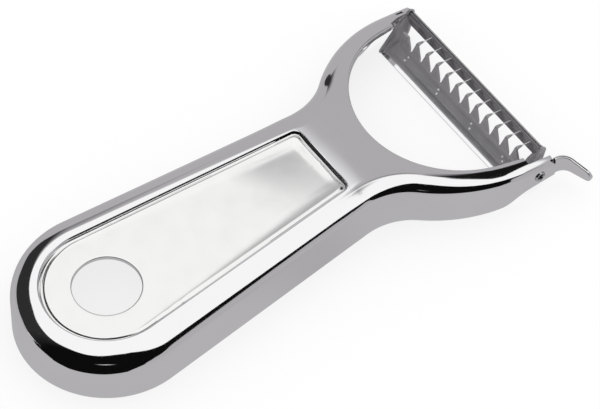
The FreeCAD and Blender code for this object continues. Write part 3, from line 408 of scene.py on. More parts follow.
def finished_metal(name, pale, dark, roughness, fineness, cloud_size, bump, metallic=1.0):
    """Bare steel with its finish: colour between two greys by the clouds, and a bump of the lines."""
    material, nodes, links, principled = shader(name, pale, roughness[0], metallic)
    place = nodes.new("ShaderNodeTexCoord")
    finish = nodes.new("ShaderNodeGroup")
    finish.node_tree = metal_finish
    for socket, value in zip(finish.inputs[1:], (fineness, cloud_size, *roughness)):
        socket.default_value = value
    links.new(place.outputs["Object"], finish.inputs["Vector"])
    links.new(finish.outputs["Roughness"], principled.inputs["Roughness"])
    tone = nodes.new("ShaderNodeMix")
    tone.data_type = "RGBA"
    tone.inputs[6].default_value, tone.inputs[7].default_value = (*dark, 1), (*pale, 1)
    links.new(finish.outputs["Clouds"], tone.inputs["Factor"])
    links.new(tone.outputs[2], principled.inputs["Base Color"])
    grain = nodes.new("ShaderNodeBump")
    grain.inputs["Strength"].default_value = bump
    grain.inputs["Distance"].default_value = 0.02 * MM
    links.new(finish.outputs["Lines"], grain.inputs["Height"])
    links.new(grain.outputs["Normal"], principled.inputs["Normal"])
    return material


def face_middles(mesh):
    """The middles of a mesh's faces, in millimetres."""
    middles = np.empty(3 * len(mesh.polygons), dtype=np.float32)
    mesh.polygons.foreach_get("center", middles)
    return middles.reshape(-1, 3) / MM


polished_steel = finished_metal(
    "polished_steel", (0.93, 0.925, 0.935), (0.90, 0.895, 0.905), (0.045, 0.075),
    fineness=9, cloud_size=0.1, bump=0.02)
# The slit's cut faces: rough steel coloured dark grey, a painted shade inside the slot
slit_shade_metal = finished_metal(
    "slit_shade_metal", (0.2, 0.195, 0.2), (0.12, 0.118, 0.12), (0.5, 0.6),
    fineness=12, cloud_size=0.8, bump=0.3)
shaped.materials.clear()
shaped.materials.append(polished_steel)
shaped.materials.append(slit_shade_metal)
# Faces inside the slit take the dark grey of the painted shade
middles = face_middles(shaped)
in_slit = np.all((middles > SLIT_LOW - SLIT_MARGIN) & (middles < SLIT_HIGH + SLIT_MARGIN), axis=1)
shaped.polygons.foreach_set("material_index", in_slit.astype(np.int32))
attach(pressing, "handle")
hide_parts("frame")

# ---- The sunk panel ------------------------------------------------
# The long floor sunk into the handle's top in the same pressing, left satin inside a polished border.
# It dishes up slightly towards its edges, and its round hang hole is punched through near the butt.
HOLE_RADIUS, HOLE_EDGE, PANEL_TUCK = 7.5, 0.2, 0.7
PANEL_LEAD, PANEL_LAST, PANEL_AXIS_END, PANEL_LENGTH = 13.0, 50.0, 53.0, 55.0
DISH_RISE, DISH_BAND, DISH_WIDENING = 0.28, 1.6, 2.6
GROOVE_DROP, GROOVE_START, GROOVE_WIDTH, GROOVE_POWER = 0.24, 0.26, 0.45, 1.2
HOLLOW, HOLLOW_BORDER, HOLLOW_START, HOLLOW_RUN = 0.36, 2.6, 37.0, 18.0
HOLLOW_MIDDLE, HOLLOW_SLANT, HOLLOW_MOST = 0.55, 12.0, 1.1


def panel_half():
    """Half of the panel: lines from the recess's outline to the hang hole's rim, or beyond it to the axis.

    Its level rises towards the straight sides by the square of the way into an edge band, and both the rise
    and the band grow from the butt to the head. All round, its border is rolled down into a fine groove.
    """
    butt_steps, side_steps, corner_steps, hole_steps, field_rows, field_power = 36, 16, 8, (36, 16), 26, 1.5
    ends = recess[2]
    lead, last = place_at(recess, [PANEL_LEAD, PANEL_LAST], SECOND_RUN)
    outer = along(recess, fan([0, ends[0], lead, last, *ends[1:]],
                              (butt_steps, side_steps, 26, 6, corner_steps, corner_steps)))
    ring = HOLE_RADIUS * ray(fan([-90, 0, 90], hole_steps))
    rest = np.linspace(HOLE_RADIUS, PANEL_AXIS_END, len(outer) - len(ring) + 1)[1:]
    inner = np.vstack([ring, np.stack([0 * rest, rest], axis=1)])
    hole = np.arange(len(outer)) < len(ring)
    outward = np.where(hole[:, None], inner / HOLE_RADIUS, 0)
    goal = inner + outward * HOLE_EDGE
    edge, border = outer[:, None, :2], outer[:, None, 2:]
    tuck = edge + border * PANEL_TUCK
    field = edge + (goal[:, None] - edge) * np.linspace(0, 1, field_rows)[None, :, None] ** field_power
    over = np.radians(np.linspace(90, 0, 6))[None, 1:]
    roll = inner[:, None] + outward[:, None] * (HOLE_EDGE * (1 - np.cos(over)))[:, :, None]
    rolled = roll.shape[1]
    plan = np.concatenate([tuck, field, roll], axis=1)
    depth = np.maximum(RECESS_RADIUS - plan @ recess_facing, 0)
    forward = np.clip(plan[:, :, 1] / PANEL_LENGTH, 0, 1)
    dish = np.clip(1 - depth / (DISH_BAND + DISH_WIDENING * forward), 0, 1)
    level = DISH_RISE * (0.5 + 0.5 * forward) * dish ** 2
    border_depth = inside_of(recess, plan.reshape(-1, 2))[0].reshape(level.shape)
    groove = np.clip(1 - (border_depth - GROOVE_START) / GROOVE_WIDTH, 0, 1)
    level -= GROOVE_DROP * groove ** GROOVE_POWER
    level[:, -rolled:] -= HOLE_EDGE * (1 - np.sin(over))
    upper, lower = np.dstack([plan, level]), np.dstack([plan, level - SHEET])
    lower[:, -rolled:, 2] = -SHEET
    shell = np.stack([upper, lower])
    index, back = numbered(shell)
    round_hole = hole[:-1] & hole[1:]
    field_end = index.shape[1] - 1 - rolled
    shown = (np.arange(index.shape[1] - 1) < field_end) | round_hole[:, None]
    faces = np.vstack([
        cells(index)[shown], cells(back)[shown][:, ::-1],
        band(index[:, 0], back[:, 0]), band(index[:, -1], back[:, -1])[round_hole]])
    return shell.reshape(-1, 3), faces


half_points, half_faces = panel_half()
panel_points = np.vstack([half_points, half_points * [-1, 1, 1]])
# Towards the head the panel falls away by half a wave, most at its left side, inside a rising border
hollow_share = np.clip((panel_points[:, 1] - HOLLOW_START) / HOLLOW_RUN, 0, 1)
inside_border = np.clip(np.tile(inside_of(recess, half_points[:, :2])[0], 2) / HOLLOW_BORDER, 0, 1)
wave = (0.5 - 0.5 * np.cos(np.pi * hollow_share)) * inside_border ** 2 * (3 - 2 * inside_border)
leaning = np.clip(HOLLOW_MIDDLE - panel_points[:, 0] / HOLLOW_SLANT, 0, HOLLOW_MOST)
panel_points[:, 2] -= HOLLOW * wave * leaning
panel = closed_piece("sunk_panel", panel_points, [half_faces, half_faces[:, ::-1] + len(half_points)])
satin_steel = finished_metal(
    "satin_steel", (0.94, 0.94, 0.932), (0.91, 0.91, 0.902), (0.12, 0.17),
    fineness=14, cloud_size=0.2, bump=0.05)
panel.data.materials.append(satin_steel)
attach(panel, "handle")
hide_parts("frame")

# ---- The horn ------------------------------------------------------
# The eye remover: the right arm's outer wall carried on past its end and bent outwards to a round tip.
# It is the pressing's own sheet, with its edges dressed round.
HORN_BEND, HORN_TURN, HORN_RUN, HORN_LEAD, HORN_ROUND = 2.7, 74.0, 5.2, 0.2, 1.4
HORN_TAPER_START, HORN_TAPER_END = 26.5, 33.95
HORN_TOP, HORN_TOP_FALL, HORN_BOTTOM, HORN_BOTTOM_RISE = -4.7, 1.5, -9.6, 0.6


def horn_strip():
    """A flat bar carried along a line, an arc and a line. Its section is a rounded box: the superellipse
    |a|^5 + |b|^5 = 1, as thick as the sheet, whose depth tapers and closes on a circle at the tip."""
    lead_steps, bend_steps, run_steps, tip_rows, ring_points, tip_least = 3, 24, 12, 14, 40, 0.02
    bend = HORN_BEND + SHEET / 2
    bend_end = HORN_LEAD + bend * np.radians(HORN_TURN)
    total = bend_end + HORN_RUN
    tip = total - HORN_ROUND * (1 - np.sin(np.radians(np.linspace(0, 89, tip_rows))))
    way = np.r_[fan([0, HORN_LEAD, bend_end, tip[0]], (lead_steps, bend_steps, run_steps)), tip[1:]]
    turn = np.clip((way - HORN_LEAD) / bend, 0, np.radians(HORN_TURN))
    beyond = np.maximum(way - bend_end, 0)
    centre_x, centre_y = ARM_SIDE + HORN_BEND, ARM_TIP + HORN_LEAD
    x = centre_x - bend * np.cos(turn) + beyond * np.sin(turn)
    bent_y = centre_y + bend * np.sin(turn) + beyond * np.cos(turn)
    y = np.where(way < HORN_LEAD, ARM_TIP + way, bent_y)
    lean = np.clip((x - HORN_TAPER_START) / (HORN_TAPER_END - HORN_TAPER_START), 0, 1)
    top, bottom = HORN_TOP - HORN_TOP_FALL * lean, HORN_BOTTOM + HORN_BOTTOM_RISE * lean
    closing = np.sqrt(1 - np.clip((way - total + HORN_ROUND) / HORN_ROUND, 0, 1) ** 2)
    half = (top - bottom) / 2 * np.maximum(closing, tip_least)
    box = ray(np.linspace(0, 360, ring_points, endpoint=False)).T
    thick, deep = np.sign(box) * np.abs(box) ** (2 / 5)
    thick *= SHEET / 2
    x, y, z, turn, half = (row[:, None] for row in (x, y, (top + bottom) / 2, turn, half))
    points = np.dstack([x - np.cos(turn) * thick, y + np.sin(turn) * thick, z + half * deep])
    return points.reshape(-1, 3), tube(numbered(points))


horn = closed_piece("horn", *horn_strip(), sharp=50)
horn.data.materials.append(polished_steel)
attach(horn, "handle")
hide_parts("frame")

# ---- The pivot pins ------------------------------------------------
# Two tubular pins, rolled from spring steel with an open slit, pressed into the carrier's ears.
# They turn in the arms' bores, and their outer ends are peened over in four small lobes.
PIN_RADIUS, PIN_BORE, PIN_INNER, PIN_OUTER = 1.3, 0.72, 23.5, 27.3
PIN_SLIT, PIN_SLIT_TURN, PIN_SIDES = 0.5, 20.0, 49


def rolled_pin(side):
    """A slit tube along the pivot: a C-shaped ring of outer and inner points carried across the arm.

    Its ends are chamfered, and the outer end's radius swells by the cosine of four times the turn.
    """
    place, chamfer, lobe, widening = np.array([
        [PIN_INNER, PIN_INNER + 0.15, PIN_OUTER - 0.5, PIN_OUTER - 0.16, PIN_OUTER],
        [0.15, 0, 0, 0, 0.14], [0, 0, 0, 0.02, 0.04], [0.1, 0, 0, -0.02, 0.12]])[:, :, None]
    slit = np.arcsin(PIN_SLIT / 2 / PIN_RADIUS)
    turn = np.linspace(slit, 2 * np.pi - slit, PIN_SIDES)[None] + np.radians(PIN_SLIT_TURN)
    outer = PIN_RADIUS - chamfer + lobe * (1 + np.cos(4 * turn))
    bore = PIN_BORE + widening + 0 * turn
    radius, turns = np.hstack([outer, bore]), np.hstack([turn, turn[:, ::-1]])
    points = np.stack(np.broadcast_arrays(
        side * place, PIVOT[1] + radius * np.cos(turns), PIVOT[2] + radius * np.sin(turns)), axis=-1)
    index = numbered(points)
    ends = band(index[[0, -1], :PIN_SIDES], index[[0, -1], :PIN_SIDES - 1:-1])
    return points.reshape(-1, 3), [tube(index)[0], ends.reshape(-1, 4)]


pin_metal = finished_metal(
    "pin_metal", (0.7, 0.7, 0.71), (0.55, 0.55, 0.56), (0.14, 0.24),
    fineness=6, cloud_size=0.6, bump=0.1)
for pin_name, pin_side in (("pivot_pin_left", -1), ("pivot_pin_right", 1)):
    pin = closed_piece("rolled_" + pin_name, *rolled_pin(pin_side))
    pin.data.materials.append(pin_metal)
    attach(pin, "blade_unit")
    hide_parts(pin_name)

# ---- The blade carrier ---------------------------------------------
# One bracket bent from brushed sheet: two ears take the pins, a folded guide and a bar run between them.
# Each ear sweeps into the guide and the bar through a wide bend, and the guide's near lip is polished.
# Its section is drawn along the blade and above it, and is then tilted about the pivot.
TILT_COS, TILT_SIN = ray(50.5)
EAR_OUTSIDE, CARRIER_SHEET, EAR_BEND, EAR_ROUND = 23.95, 0.6, 2.3, 0.6
EAR_INSIDE = EAR_OUTSIDE - CARRIER_SHEET
EAR_CORNERS = [(-6.95, 0.88), (-4.35, -2.0), (2.6, -2.0), (5.55, -0.7),
               (5.55, 0.95), (0.8, 1.7), (-6.95, 1.7)]
EAR_SIZES, EAR_INSETS = np.array([0.955, 0.985, 1.0]), np.array([0, 0.04, 0.15])
WEB_START, WEB_END, WEB_SHEET = -6.2, 5.4, 0.58
GUIDE_LENGTH, SECTION_OVERLAP = 5.1, 0.1
BAR_TILT, BAR_WIDTH, BAR_ROUND, BAR_START = 10.8, 1.5, 0.28, np.array([5.3, 0.5])


def on_pivot(x, along_blade, height):
    """Points of the blade unit's section, carried across it and turned about the pivot by its tilt."""
    y = PIVOT[1] + along_blade * TILT_COS - height * TILT_SIN
    z = PIVOT[2] + along_blade * TILT_SIN + height * TILT_COS
    return np.stack(np.broadcast_arrays(x, y, z), axis=-1)


def bent_sheet(start, runs, bends):
    """A folded sheet's section: its angle holds along each run and turns evenly over a length at each fold.

    Places are the start plus the running sum of (cos angle, sin angle), with normals to the left.
    """
    lengths, angles = np.array(runs, float).T
    folds, half = np.cumsum(lengths), np.array(bends) / 2
    keys = np.r_[0, np.stack([folds[:-1] - half, folds[:-1] + half], axis=1).ravel(), folds[-1]]
    way = np.linspace(0, folds[-1], 1500)
    angle = np.interp(way, keys, np.repeat(angles, 2))
    rays = ray(angle)
    place = start + np.vstack([[0, 0], np.cumsum((rays[1:] + rays[:-1]) / 2, axis=0) * way[1]])
    return way, np.hstack([place, ray(angle + 90)])


def rounded_corners(corners, radius):
    """A closed outline through corners, each cut at a radius from its tip and bridged by a parabola."""
    corners = np.array(corners, float)
    before, after = np.roll(corners, 1, axis=0) - corners, np.roll(corners, -1, axis=0) - corners
    before, after = (radius * leg / np.linalg.norm(leg, axis=1)[:, None] for leg in (before, after))
    t = np.linspace(0, 1, 7)[None, :, None]
    return (corners[:, None] + before[:, None] * (1 - t) ** 2 + after[:, None] * t ** 2).reshape(-1, 2)


def carried(outlines, places):
    """A closed section carried across the blade: one outline for each place, joined and capped flat."""
    points = on_pivot(np.array(places)[:, None], outlines[..., 0], outlines[..., 1])
    return points.reshape(-1, 3), tube(numbered(points))


def joined(shells):
    """Several closed shells as one: points stacked, and faces counted on from the points before them."""
    firsts = np.cumsum([0] + [len(points) for points, faces in shells])
    groups = [group + first for first, (points, faces) in zip(firsts, shells) for group in faces]
    return np.vstack([points for points, faces in shells]), groups


def ear_web(side):
    """The bend inside an ear: for each place along the blade, a quarter circle from the ear to the floor.

    The floor follows the guide, then the gap, then the bar, and the lower face lies one sheet outside.
    """
    place = np.linspace(WEB_START, WEB_END, 50)[:, None]
    floor = np.interp(place, [-6.95, -6.06, -2.15, 3.6, 5.5], [1.0, 0.76, -0.47, 0.1, 0.5])
    crest = np.interp(place, [-6.95, 0.8, 5.55], [1.7, 1.7, 0.95])
    bend = np.clip(crest - floor - 0.1, 0.25, EAR_BEND)
    turn = np.linspace(0, np.pi / 2, 15)[None]
    upper = np.stack([EAR_INSIDE - bend + bend * np.cos(turn), floor + bend - bend * np.sin(turn)])
    lower = upper + WEB_SHEET * np.stack([np.cos(turn), -np.sin(turn)])
    x, height = np.stack([upper, lower], axis=1)
    shell = on_pivot(side * x, place, height)
    over, under = index = numbered(shell)
    long_edges = band(over[:, [0, -1]].T, under[:, [0, -1]].T)
    short_edges = band(over[[0, -1]], under[[0, -1]])
    return shell.reshape(-1, 3), [part.reshape(-1, 4) for part in (cells(index), long_edges, short_edges)]


def face_places(piece):
    """Where the faces of a blade piece lie: how far across the blade, and how far along its section."""
    x, y, z = (face_middles(piece.data) - PIVOT).T
    return np.abs(x), y * TILT_COS + z * TILT_SIN


ear = rounded_corners(EAR_CORNERS, EAR_ROUND)
ear_middle = ear.mean(axis=0)
ear_rings = ear_middle + (ear - ear_middle) * np.r_[EAR_SIZES, EAR_SIZES[::-1]][:, None, None]
ear_places = np.r_[EAR_INSIDE + EAR_INSETS, EAR_OUTSIDE - EAR_INSETS[::-1]]
guide_path = bent_sheet((-6.7, 1.5), [(1.0, -44), (4.1, -17.5)], [0.5])
guide_top = along(guide_path, np.linspace(0, GUIDE_LENGTH, 40))
guide_under = guide_top[:, :2] - CARRIER_SHEET * guide_top[:, 2:]
guide = np.vstack([guide_top[:, :2], guide_under[::-1]])
bar_way, bar_up = -ray(BAR_TILT), ray(BAR_TILT + 90)
bar_under = BAR_START - CARRIER_SHEET * bar_up
bar_across = BAR_WIDTH * bar_way
bar = rounded_corners([BAR_START, bar_under, bar_under + bar_across, BAR_START + bar_across], BAR_ROUND)
across_blade = (EAR_INSIDE + SECTION_OVERLAP) * np.array([-1, 1])
carrier = closed_piece("carrier_bracket", *joined([
    carried(ear_rings, ear_places), carried(ear_rings, -ear_places), ear_web(1), ear_web(-1),
    carried(np.stack([guide] * 2), across_blade), carried(np.stack([bar] * 2), across_blade)]))
carrier_metal = finished_metal(
    "carrier_metal", (0.62, 0.61, 0.625), (0.48, 0.47, 0.485), (0.42, 0.52),
    fineness=8, cloud_size=0.25, bump=0.15, metallic=0.8)
bar_metal = finished_metal(
    "bar_metal", (0.62, 0.615, 0.625), (0.5, 0.495, 0.505), (0.12, 0.18),
    fineness=8, cloud_size=0.25, bump=0.1)
for metal in (carrier_metal, polished_steel, bar_metal):
    carrier.data.materials.append(metal)
LIP_END, BAR_INSIDE = guide_path[1][230, 0], 3.7
face_across, face_along = face_places(carrier)
between_ears = face_across < EAR_INSIDE
on_lip, on_bar = between_ears & (face_along < LIP_END), between_ears & (face_along > BAR_INSIDE)
carrier_finish = np.select([on_lip, on_bar], [1, 2])
carrier.data.polygons.foreach_set("material_index", carrier_finish.astype(np.int32))
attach(carrier, "blade_unit")
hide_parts("blade_carrier")

# ---- The slicing blade ---------------------------------------------
# A thin hardened strip on the far bar, hollow-ground to one bevel along its inner edge.
# Its ends sweep out into the bracket with a small round.
BLADE_THICKNESS, BLADE_WIDTH, BLADE_END, BLADE_SETBACK, END_ROUND = 0.4, 2.55, 23.2, 0.3, 1.3
BEVEL, BEVEL_POWER, BEVEL_EDGE = 1.4, 1.25, 0.02
BACK_HEIGHTS, BACK_INSETS = np.array([0.0, 0.34, BLADE_THICKNESS]), np.array([0.0, 0.0, 0.06])
flat_end = BLADE_END - END_ROUND
round_end = BLADE_END - END_ROUND * (1 - np.cos(np.radians(np.linspace(90, 0, 12))))
blade_places = np.r_[-round_end[::-1], np.linspace(-flat_end, flat_end, 30)[1:-1], round_end]
beyond = np.clip(np.abs(blade_places) - flat_end, 0, END_ROUND)
blade_reach = (BLADE_WIDTH + sag(END_ROUND, beyond))[:, None, None]
blade_start = BAR_START + BLADE_SETBACK * bar_way
ground = np.linspace(0, 1, 9)[None, :, None]
lift = BLADE_THICKNESS * (1 - ground) ** BEVEL_POWER + BEVEL_EDGE * ground
bevel_face = blade_start + bar_way * (blade_reach - BEVEL + BEVEL * ground) + bar_up * lift
back_edge = blade_start + bar_up * BACK_HEIGHTS[:, None] + bar_way * BACK_INSETS[:, None]
back_edge = np.broadcast_to(back_edge, (len(blade_places), 3, 2))
under_edge = blade_start + bar_way * blade_reach
blade_rings = np.concatenate([back_edge, bevel_face, under_edge], axis=1)
slicing = closed_piece("slicing_edge", *carried(blade_rings, blade_places))
blade_metal = finished_metal(
    "blade_metal", (0.36, 0.355, 0.365), (0.28, 0.275, 0.285), (0.2, 0.28),
    fineness=10, cloud_size=0.3, bump=0.1)
slicing.data.materials.append(blade_metal)
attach(slicing, "blade_unit")
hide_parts("slicing_blade")

# ---- The toothed plate ---------------------------------------------
# The julienne blade: a plate stamped with a row of teeth, curved up from its base, spot-welded to the guide.
# Each tooth is drawn out to a hooked point that meets the slicing edge, and the welds show as small pips.
# The points' thin needles over the slicing blade are a painted reflection of the teeth in it, and points,
# needles and pips are painted nearly white as a painted highlight.
PLATE_SHEET, TOOTH_PITCH, TEETH = 0.5, 3.55, 12
PLATE_START, PLATE_BASE, PLATE_RISE = (-4.912, 0.423), 2.9, 4.3
PLATE_LEFT, PLATE_RIGHT, CLIP_START, HIGHLIGHT_PAINT_START = -20.9, 20.9, 4.6, 2.5
NOTCH_START, NOTCH_ROUND, HOOK_START, HOOK_BASE = 3.15, 0.3, 6.95, 0.4
HOOK_THINNING, HOOK_MIDDLE, HOOK_END, HOOK_TIP = 7.0, 7.6, 9.0, 0.1
NEEDLE_END, NEEDLE_SLANT, NEEDLE_HALF, NEEDLE_THICKNESS = 10.75, 0.98, 0.06, 0.08
WELD_PLACES = np.array([[-17.5, 0.65], [-17.3, 1.7], [-5.9, 0.7], [-6.25, 1.65],
                        [6.05, 0.7], [5.55, 1.75], [17.5, 0.95], [16.7, 1.75]])
WELD_RADIUS, WELD_HEIGHT = 0.26, 0.08


def toothed_plate(path):
    """Teeth side by side on one curved sheet, each a grid between its left and right flank.

    Half a tooth is half a pitch wide up to the notches. Then it narrows by a quarter circle and a straight
    flank to the hook's base, and evenly to a thin point, which leans over and rests on the slicing blade.
    That thin needle on the blade is a painted reflection of the tooth in it.
    The left end stands as high without a hook.
    """
    notch_end, half_pitch = NOTCH_START + NOTCH_ROUND, TOOTH_PITCH / 2
    rise = np.r_[np.linspace(0, NOTCH_START, 18, endpoint=False),
                 NOTCH_START + NOTCH_ROUND * (1 - np.cos(np.radians(np.linspace(0, 90, 8)))),
                 fan([notch_end, HOOK_START, HOOK_MIDDLE, HOOK_END, NEEDLE_END], (14, 8, 8, 8))[1:]]
    round_gap = np.sqrt(np.maximum(NOTCH_ROUND ** 2 - (notch_end - np.maximum(rise, NOTCH_START)) ** 2, 0))
    flank_gap = np.interp(rise, [notch_end, HOOK_START], [NOTCH_ROUND, half_pitch - HOOK_BASE])
    tooth = half_pitch - np.where(rise < notch_end, round_gap, flank_gap)
    hook = np.interp(rise, [HOOK_START, HOOK_END, NEEDLE_END], [HOOK_BASE, HOOK_TIP, NEEDLE_HALF])
    half = np.where(rise <= HOOK_START, tooth, hook)
    middle = (np.arange(TEETH) - (TEETH - 1) / 2)[:, None] * TOOTH_PITCH
    middle = middle + NEEDLE_SLANT * np.clip((rise - HOOK_END) / (NEEDLE_END - HOOK_END), 0, 1)
    left, right = middle - half, middle + half
    left[0] = PLATE_LEFT
    clipped = np.interp(rise, [CLIP_START, HOOK_START], [PLATE_RIGHT, middle[-1, 0] + HOOK_BASE])
    right[-1] = np.where(rise < HOOK_START, clipped, right[-1])
    hook_row = np.argmax(rise >= HOOK_START)
    right[0, hook_row:] = right[0, hook_row]
    open_rows = rise[:-1] >= NOTCH_START - 1e-9
    rise = np.repeat(rise[None], TEETH, axis=0)
    rise[0] = np.minimum(rise[0], HOOK_START)
    place, up = np.split(along(path, rise.ravel()).reshape(*rise.shape, 1, 4), 2, axis=-1)
    thick = np.interp(rise, [0, HOOK_THINNING, HOOK_END, NEEDLE_END],
                      [PLATE_SHEET, PLATE_SHEET, HOOK_TIP, NEEDLE_THICKNESS])[:, :, None, None]
    x = left[:, :, None] + (right - left)[:, :, None] * np.linspace(0, 1, 9)
    section = np.stack([place, place + thick * up])
    shell = on_pivot(x, section[..., 0], section[..., 1])
    under, over = index = numbered(shell)
    walls = band(under[..., [0, -1]].swapaxes(1, 2), over[..., [0, -1]].swapaxes(1, 2))
    standing = np.broadcast_to(open_rows, walls.shape[:3]).copy()
    standing[0, 0] = standing[-1, 1] = True
    ends = band(under[:, [0, -1]], over[:, [0, -1]])
    return shell.reshape(-1, 3), [cells(index).reshape(-1, 4), walls[standing], ends.reshape(-1, 4)]


def weld_pips(path):
    """Spot welds: flattened balls, two at each place along the plate, half sunk in its upper face."""
    turn = np.linspace(0, 2 * np.pi, 13)[None, None]
    height = np.linspace(-np.pi / 2, np.pi / 2, 7)[None, :, None]
    rows = along(path, WELD_PLACES[:, 1])[:, None, None]
    spread = WELD_RADIUS * np.cos(height) * np.sin(turn)
    stand = PLATE_SHEET + WELD_HEIGHT * np.sin(height)
    points = on_pivot(WELD_PLACES[:, 0, None, None] + WELD_RADIUS * np.cos(height) * np.cos(turn),
                      rows[..., 0] + spread * rows[..., 3] + stand * rows[..., 2],
                      rows[..., 1] - spread * rows[..., 2] + stand * rows[..., 3])
    return points.reshape(-1, 3), [cells(numbered(points)).reshape(-1, 4)]


plate_path = bent_sheet(
    PLATE_START, [(PLATE_BASE, -17.5), (PLATE_RISE, 36.0), (HOOK_END - PLATE_BASE - PLATE_RISE, -52.0),
                  (NEEDLE_END - HOOK_END, 2.0)], [2.6, 0.4, 0.4])
plate_metal = finished_metal(
    "plate_metal", (0.62, 0.61, 0.625), (0.5, 0.49, 0.505), (0.5, 0.6),
    fineness=9, cloud_size=0.2, bump=0.25, metallic=0.8)
# Nearly white, barely metallic paint on the tooth points, their needles and the weld pips: a painted
# highlight
painted_highlight_metal = finished_metal(
    "painted_highlight_metal", (0.95, 0.95, 0.95), (0.85, 0.85, 0.85), (0.3, 0.4),
    fineness=9, cloud_size=0.5, bump=0.1, metallic=0.3)
plate = closed_piece("toothed_plate", *toothed_plate(plate_path), sharp=40)
plate.data.materials.append(plate_metal)
plate.data.materials.append(painted_highlight_metal)
# Faces past the points' start get the nearly white paint, a painted highlight
plate.data.polygons.foreach_set("material_index", (face_places(plate)[1] > HIGHLIGHT_PAINT_START).astype(np.int32))
welds = closed_piece("spot_welds", *weld_pips(plate_path))
welds.data.materials.append(painted_highlight_metal)
for plate_part in (plate, welds):
    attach(plate_part, "blade_unit")
    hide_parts("julienne_blade")

# ---- Floor, studio and camera --------------------------------------
# A plain white table in a white studio, with grey and dark cards that only polished metal mirrors, and
# the camera with a long lens.
TABLE_LEVEL, MAT_LEVEL, DARK_MAT_LEVEL = -12.0, -11.87, -11.77
TABLE_REACH, TABLE_GLOW, TABLE_GLOW_SHARE = 3000, 1.03, 0.75
table = bpy.data.meshes.new("table")
table_corners = np.array([[-1, -1, 0], [1, -1, 0], [1, 1, 0], [-1, 1, 0]]) * TABLE_REACH + [0, 0, TABLE_LEVEL]
table.from_pydata((table_corners * MM).tolist(), [], [[0, 1, 2, 3]])
table_top = placed("table", table)
table_white, nodes, links, principled = shader("table_white", (0.9, 0.9, 0.9), 0.9, 0.0)
principled.inputs["Specular IOR Level"].default_value = 0
seen, glow, blend, share, any_mirror, any_seen = (nodes.new("ShaderNode" + kind) for kind in (
    "LightPath", "Emission", "MixShader", "Math", "Math", "Math"))
any_mirror.operation = any_seen.operation = "MAXIMUM"
share.operation = "MULTIPLY"
share.inputs[1].default_value = TABLE_GLOW_SHARE
glow.inputs["Color"].default_value, glow.inputs["Strength"].default_value = (1, 1, 1, 1), TABLE_GLOW
links.new(seen.outputs["Is Glossy Ray"], any_mirror.inputs[0])
links.new(seen.outputs["Is Transmission Ray"], any_mirror.inputs[1])
links.new(any_mirror.outputs[0], any_seen.inputs[0])
links.new(seen.outputs["Is Camera Ray"], any_seen.inputs[1])
links.new(any_seen.outputs[0], share.inputs[0])
links.new(share.outputs[0], blend.inputs["Fac"])
links.new(principled.outputs["BSDF"], blend.inputs[1])
links.new(glow.outputs["Emission"], blend.inputs[2])
links.new(blend.outputs["Shader"], nodes["Material Output"].inputs["Surface"])
table.materials.append(table_white)

# Shares of the way through a card, about the vertical and upwards
CARD_CENTRE = np.array([0, 40, 0])
round_share, up_share = np.linspace(0, 1, 91)[:, None], np.linspace(0, 1, 41)[None]


def flat_card(name, points, tone, cover=1.0):
    """A stage card on a grid of points in millimetres, glowing in one grey, which only mirrors see.

    Its cover, from 0 to 1 over the grid, lets it fade out towards its edges.
    """
    mesh = bpy.data.meshes.new(name)
    quads = cells(numbered(points)).reshape(-1, 4)
    mesh.from_pydata((points.reshape(-1, 3) * MM).tolist(), [], quads.tolist())
    held = mesh.attributes.new("cover", "FLOAT", "POINT")
    held.data.foreach_set("value", np.broadcast_to(cover, points.shape[:2]).astype(np.float32).ravel())
    material = bpy.data.materials.new(name)
    material.use_nodes = True
    nodes, links = material.node_tree.nodes, material.node_tree.links
    nodes.clear()
    fade, clear, glow, blend, leave = (nodes.new("ShaderNode" + kind) for kind in (
        "Attribute", "BsdfTransparent", "Emission", "MixShader", "OutputMaterial"))
    fade.attribute_name = "cover"
    glow.inputs["Color"].default_value = (tone, tone * 0.98, tone * 1.01, 1)
    links.new(fade.outputs["Fac"], blend.inputs["Fac"])
    links.new(clear.outputs["BSDF"], blend.inputs[1])
    links.new(glow.outputs["Emission"], blend.inputs[2])
    links.new(blend.outputs["Shader"], leave.inputs["Surface"])
    mesh.materials.append(material)
    card = placed(name, mesh)
    card.visible_camera = card.visible_diffuse = card.visible_shadow = False
    card.visible_transmission = card.visible_volume_scatter = False


def dome(turns, low, high, radius):
    """Part of a large sphere: for each turn about the vertical, from one height to another, in degrees."""
    turn = turns[0] + (turns[-1] - turns[0]) * round_share
    lowest, highest = np.interp(turn, turns, low), np.interp(turn, turns, high)
    out, up = np.moveaxis(ray(lowest + (highest - lowest) * up_share), -1, 0)
    return radius * np.dstack([out[..., None] * ray(turn), up]) + CARD_CENTRE


# The dark room: black behind the camera, thinning out to a line on its right, with one small lamp in it
flat_card("dark_room", dome(
    [238, 250, 270, 285, 300, 315, 330, 345, 368, 372, 376, 380, 384, 388, 392, 396, 400, 404, 410],
    [2, 0] + [-1] * 8 + [2, 5, 9, 20, 26, 28, 28, 28, 28.5],
    [63, 65.5, 67.5, 69, 72, 76, 79, 79, 76, 70, 60, 54, 49, 45.5, 43, 39.5, 38, 34, 29], 1400),
    0.004, np.clip(round_share * 8, 0, 1))
flat_card("small_lamp", dome([308, 320, 332], [25, 26, 27], [29, 30.5, 30.5], 1300),
          0.9, np.sin(np.pi * round_share) ** 2 * np.sin(np.pi * up_share))
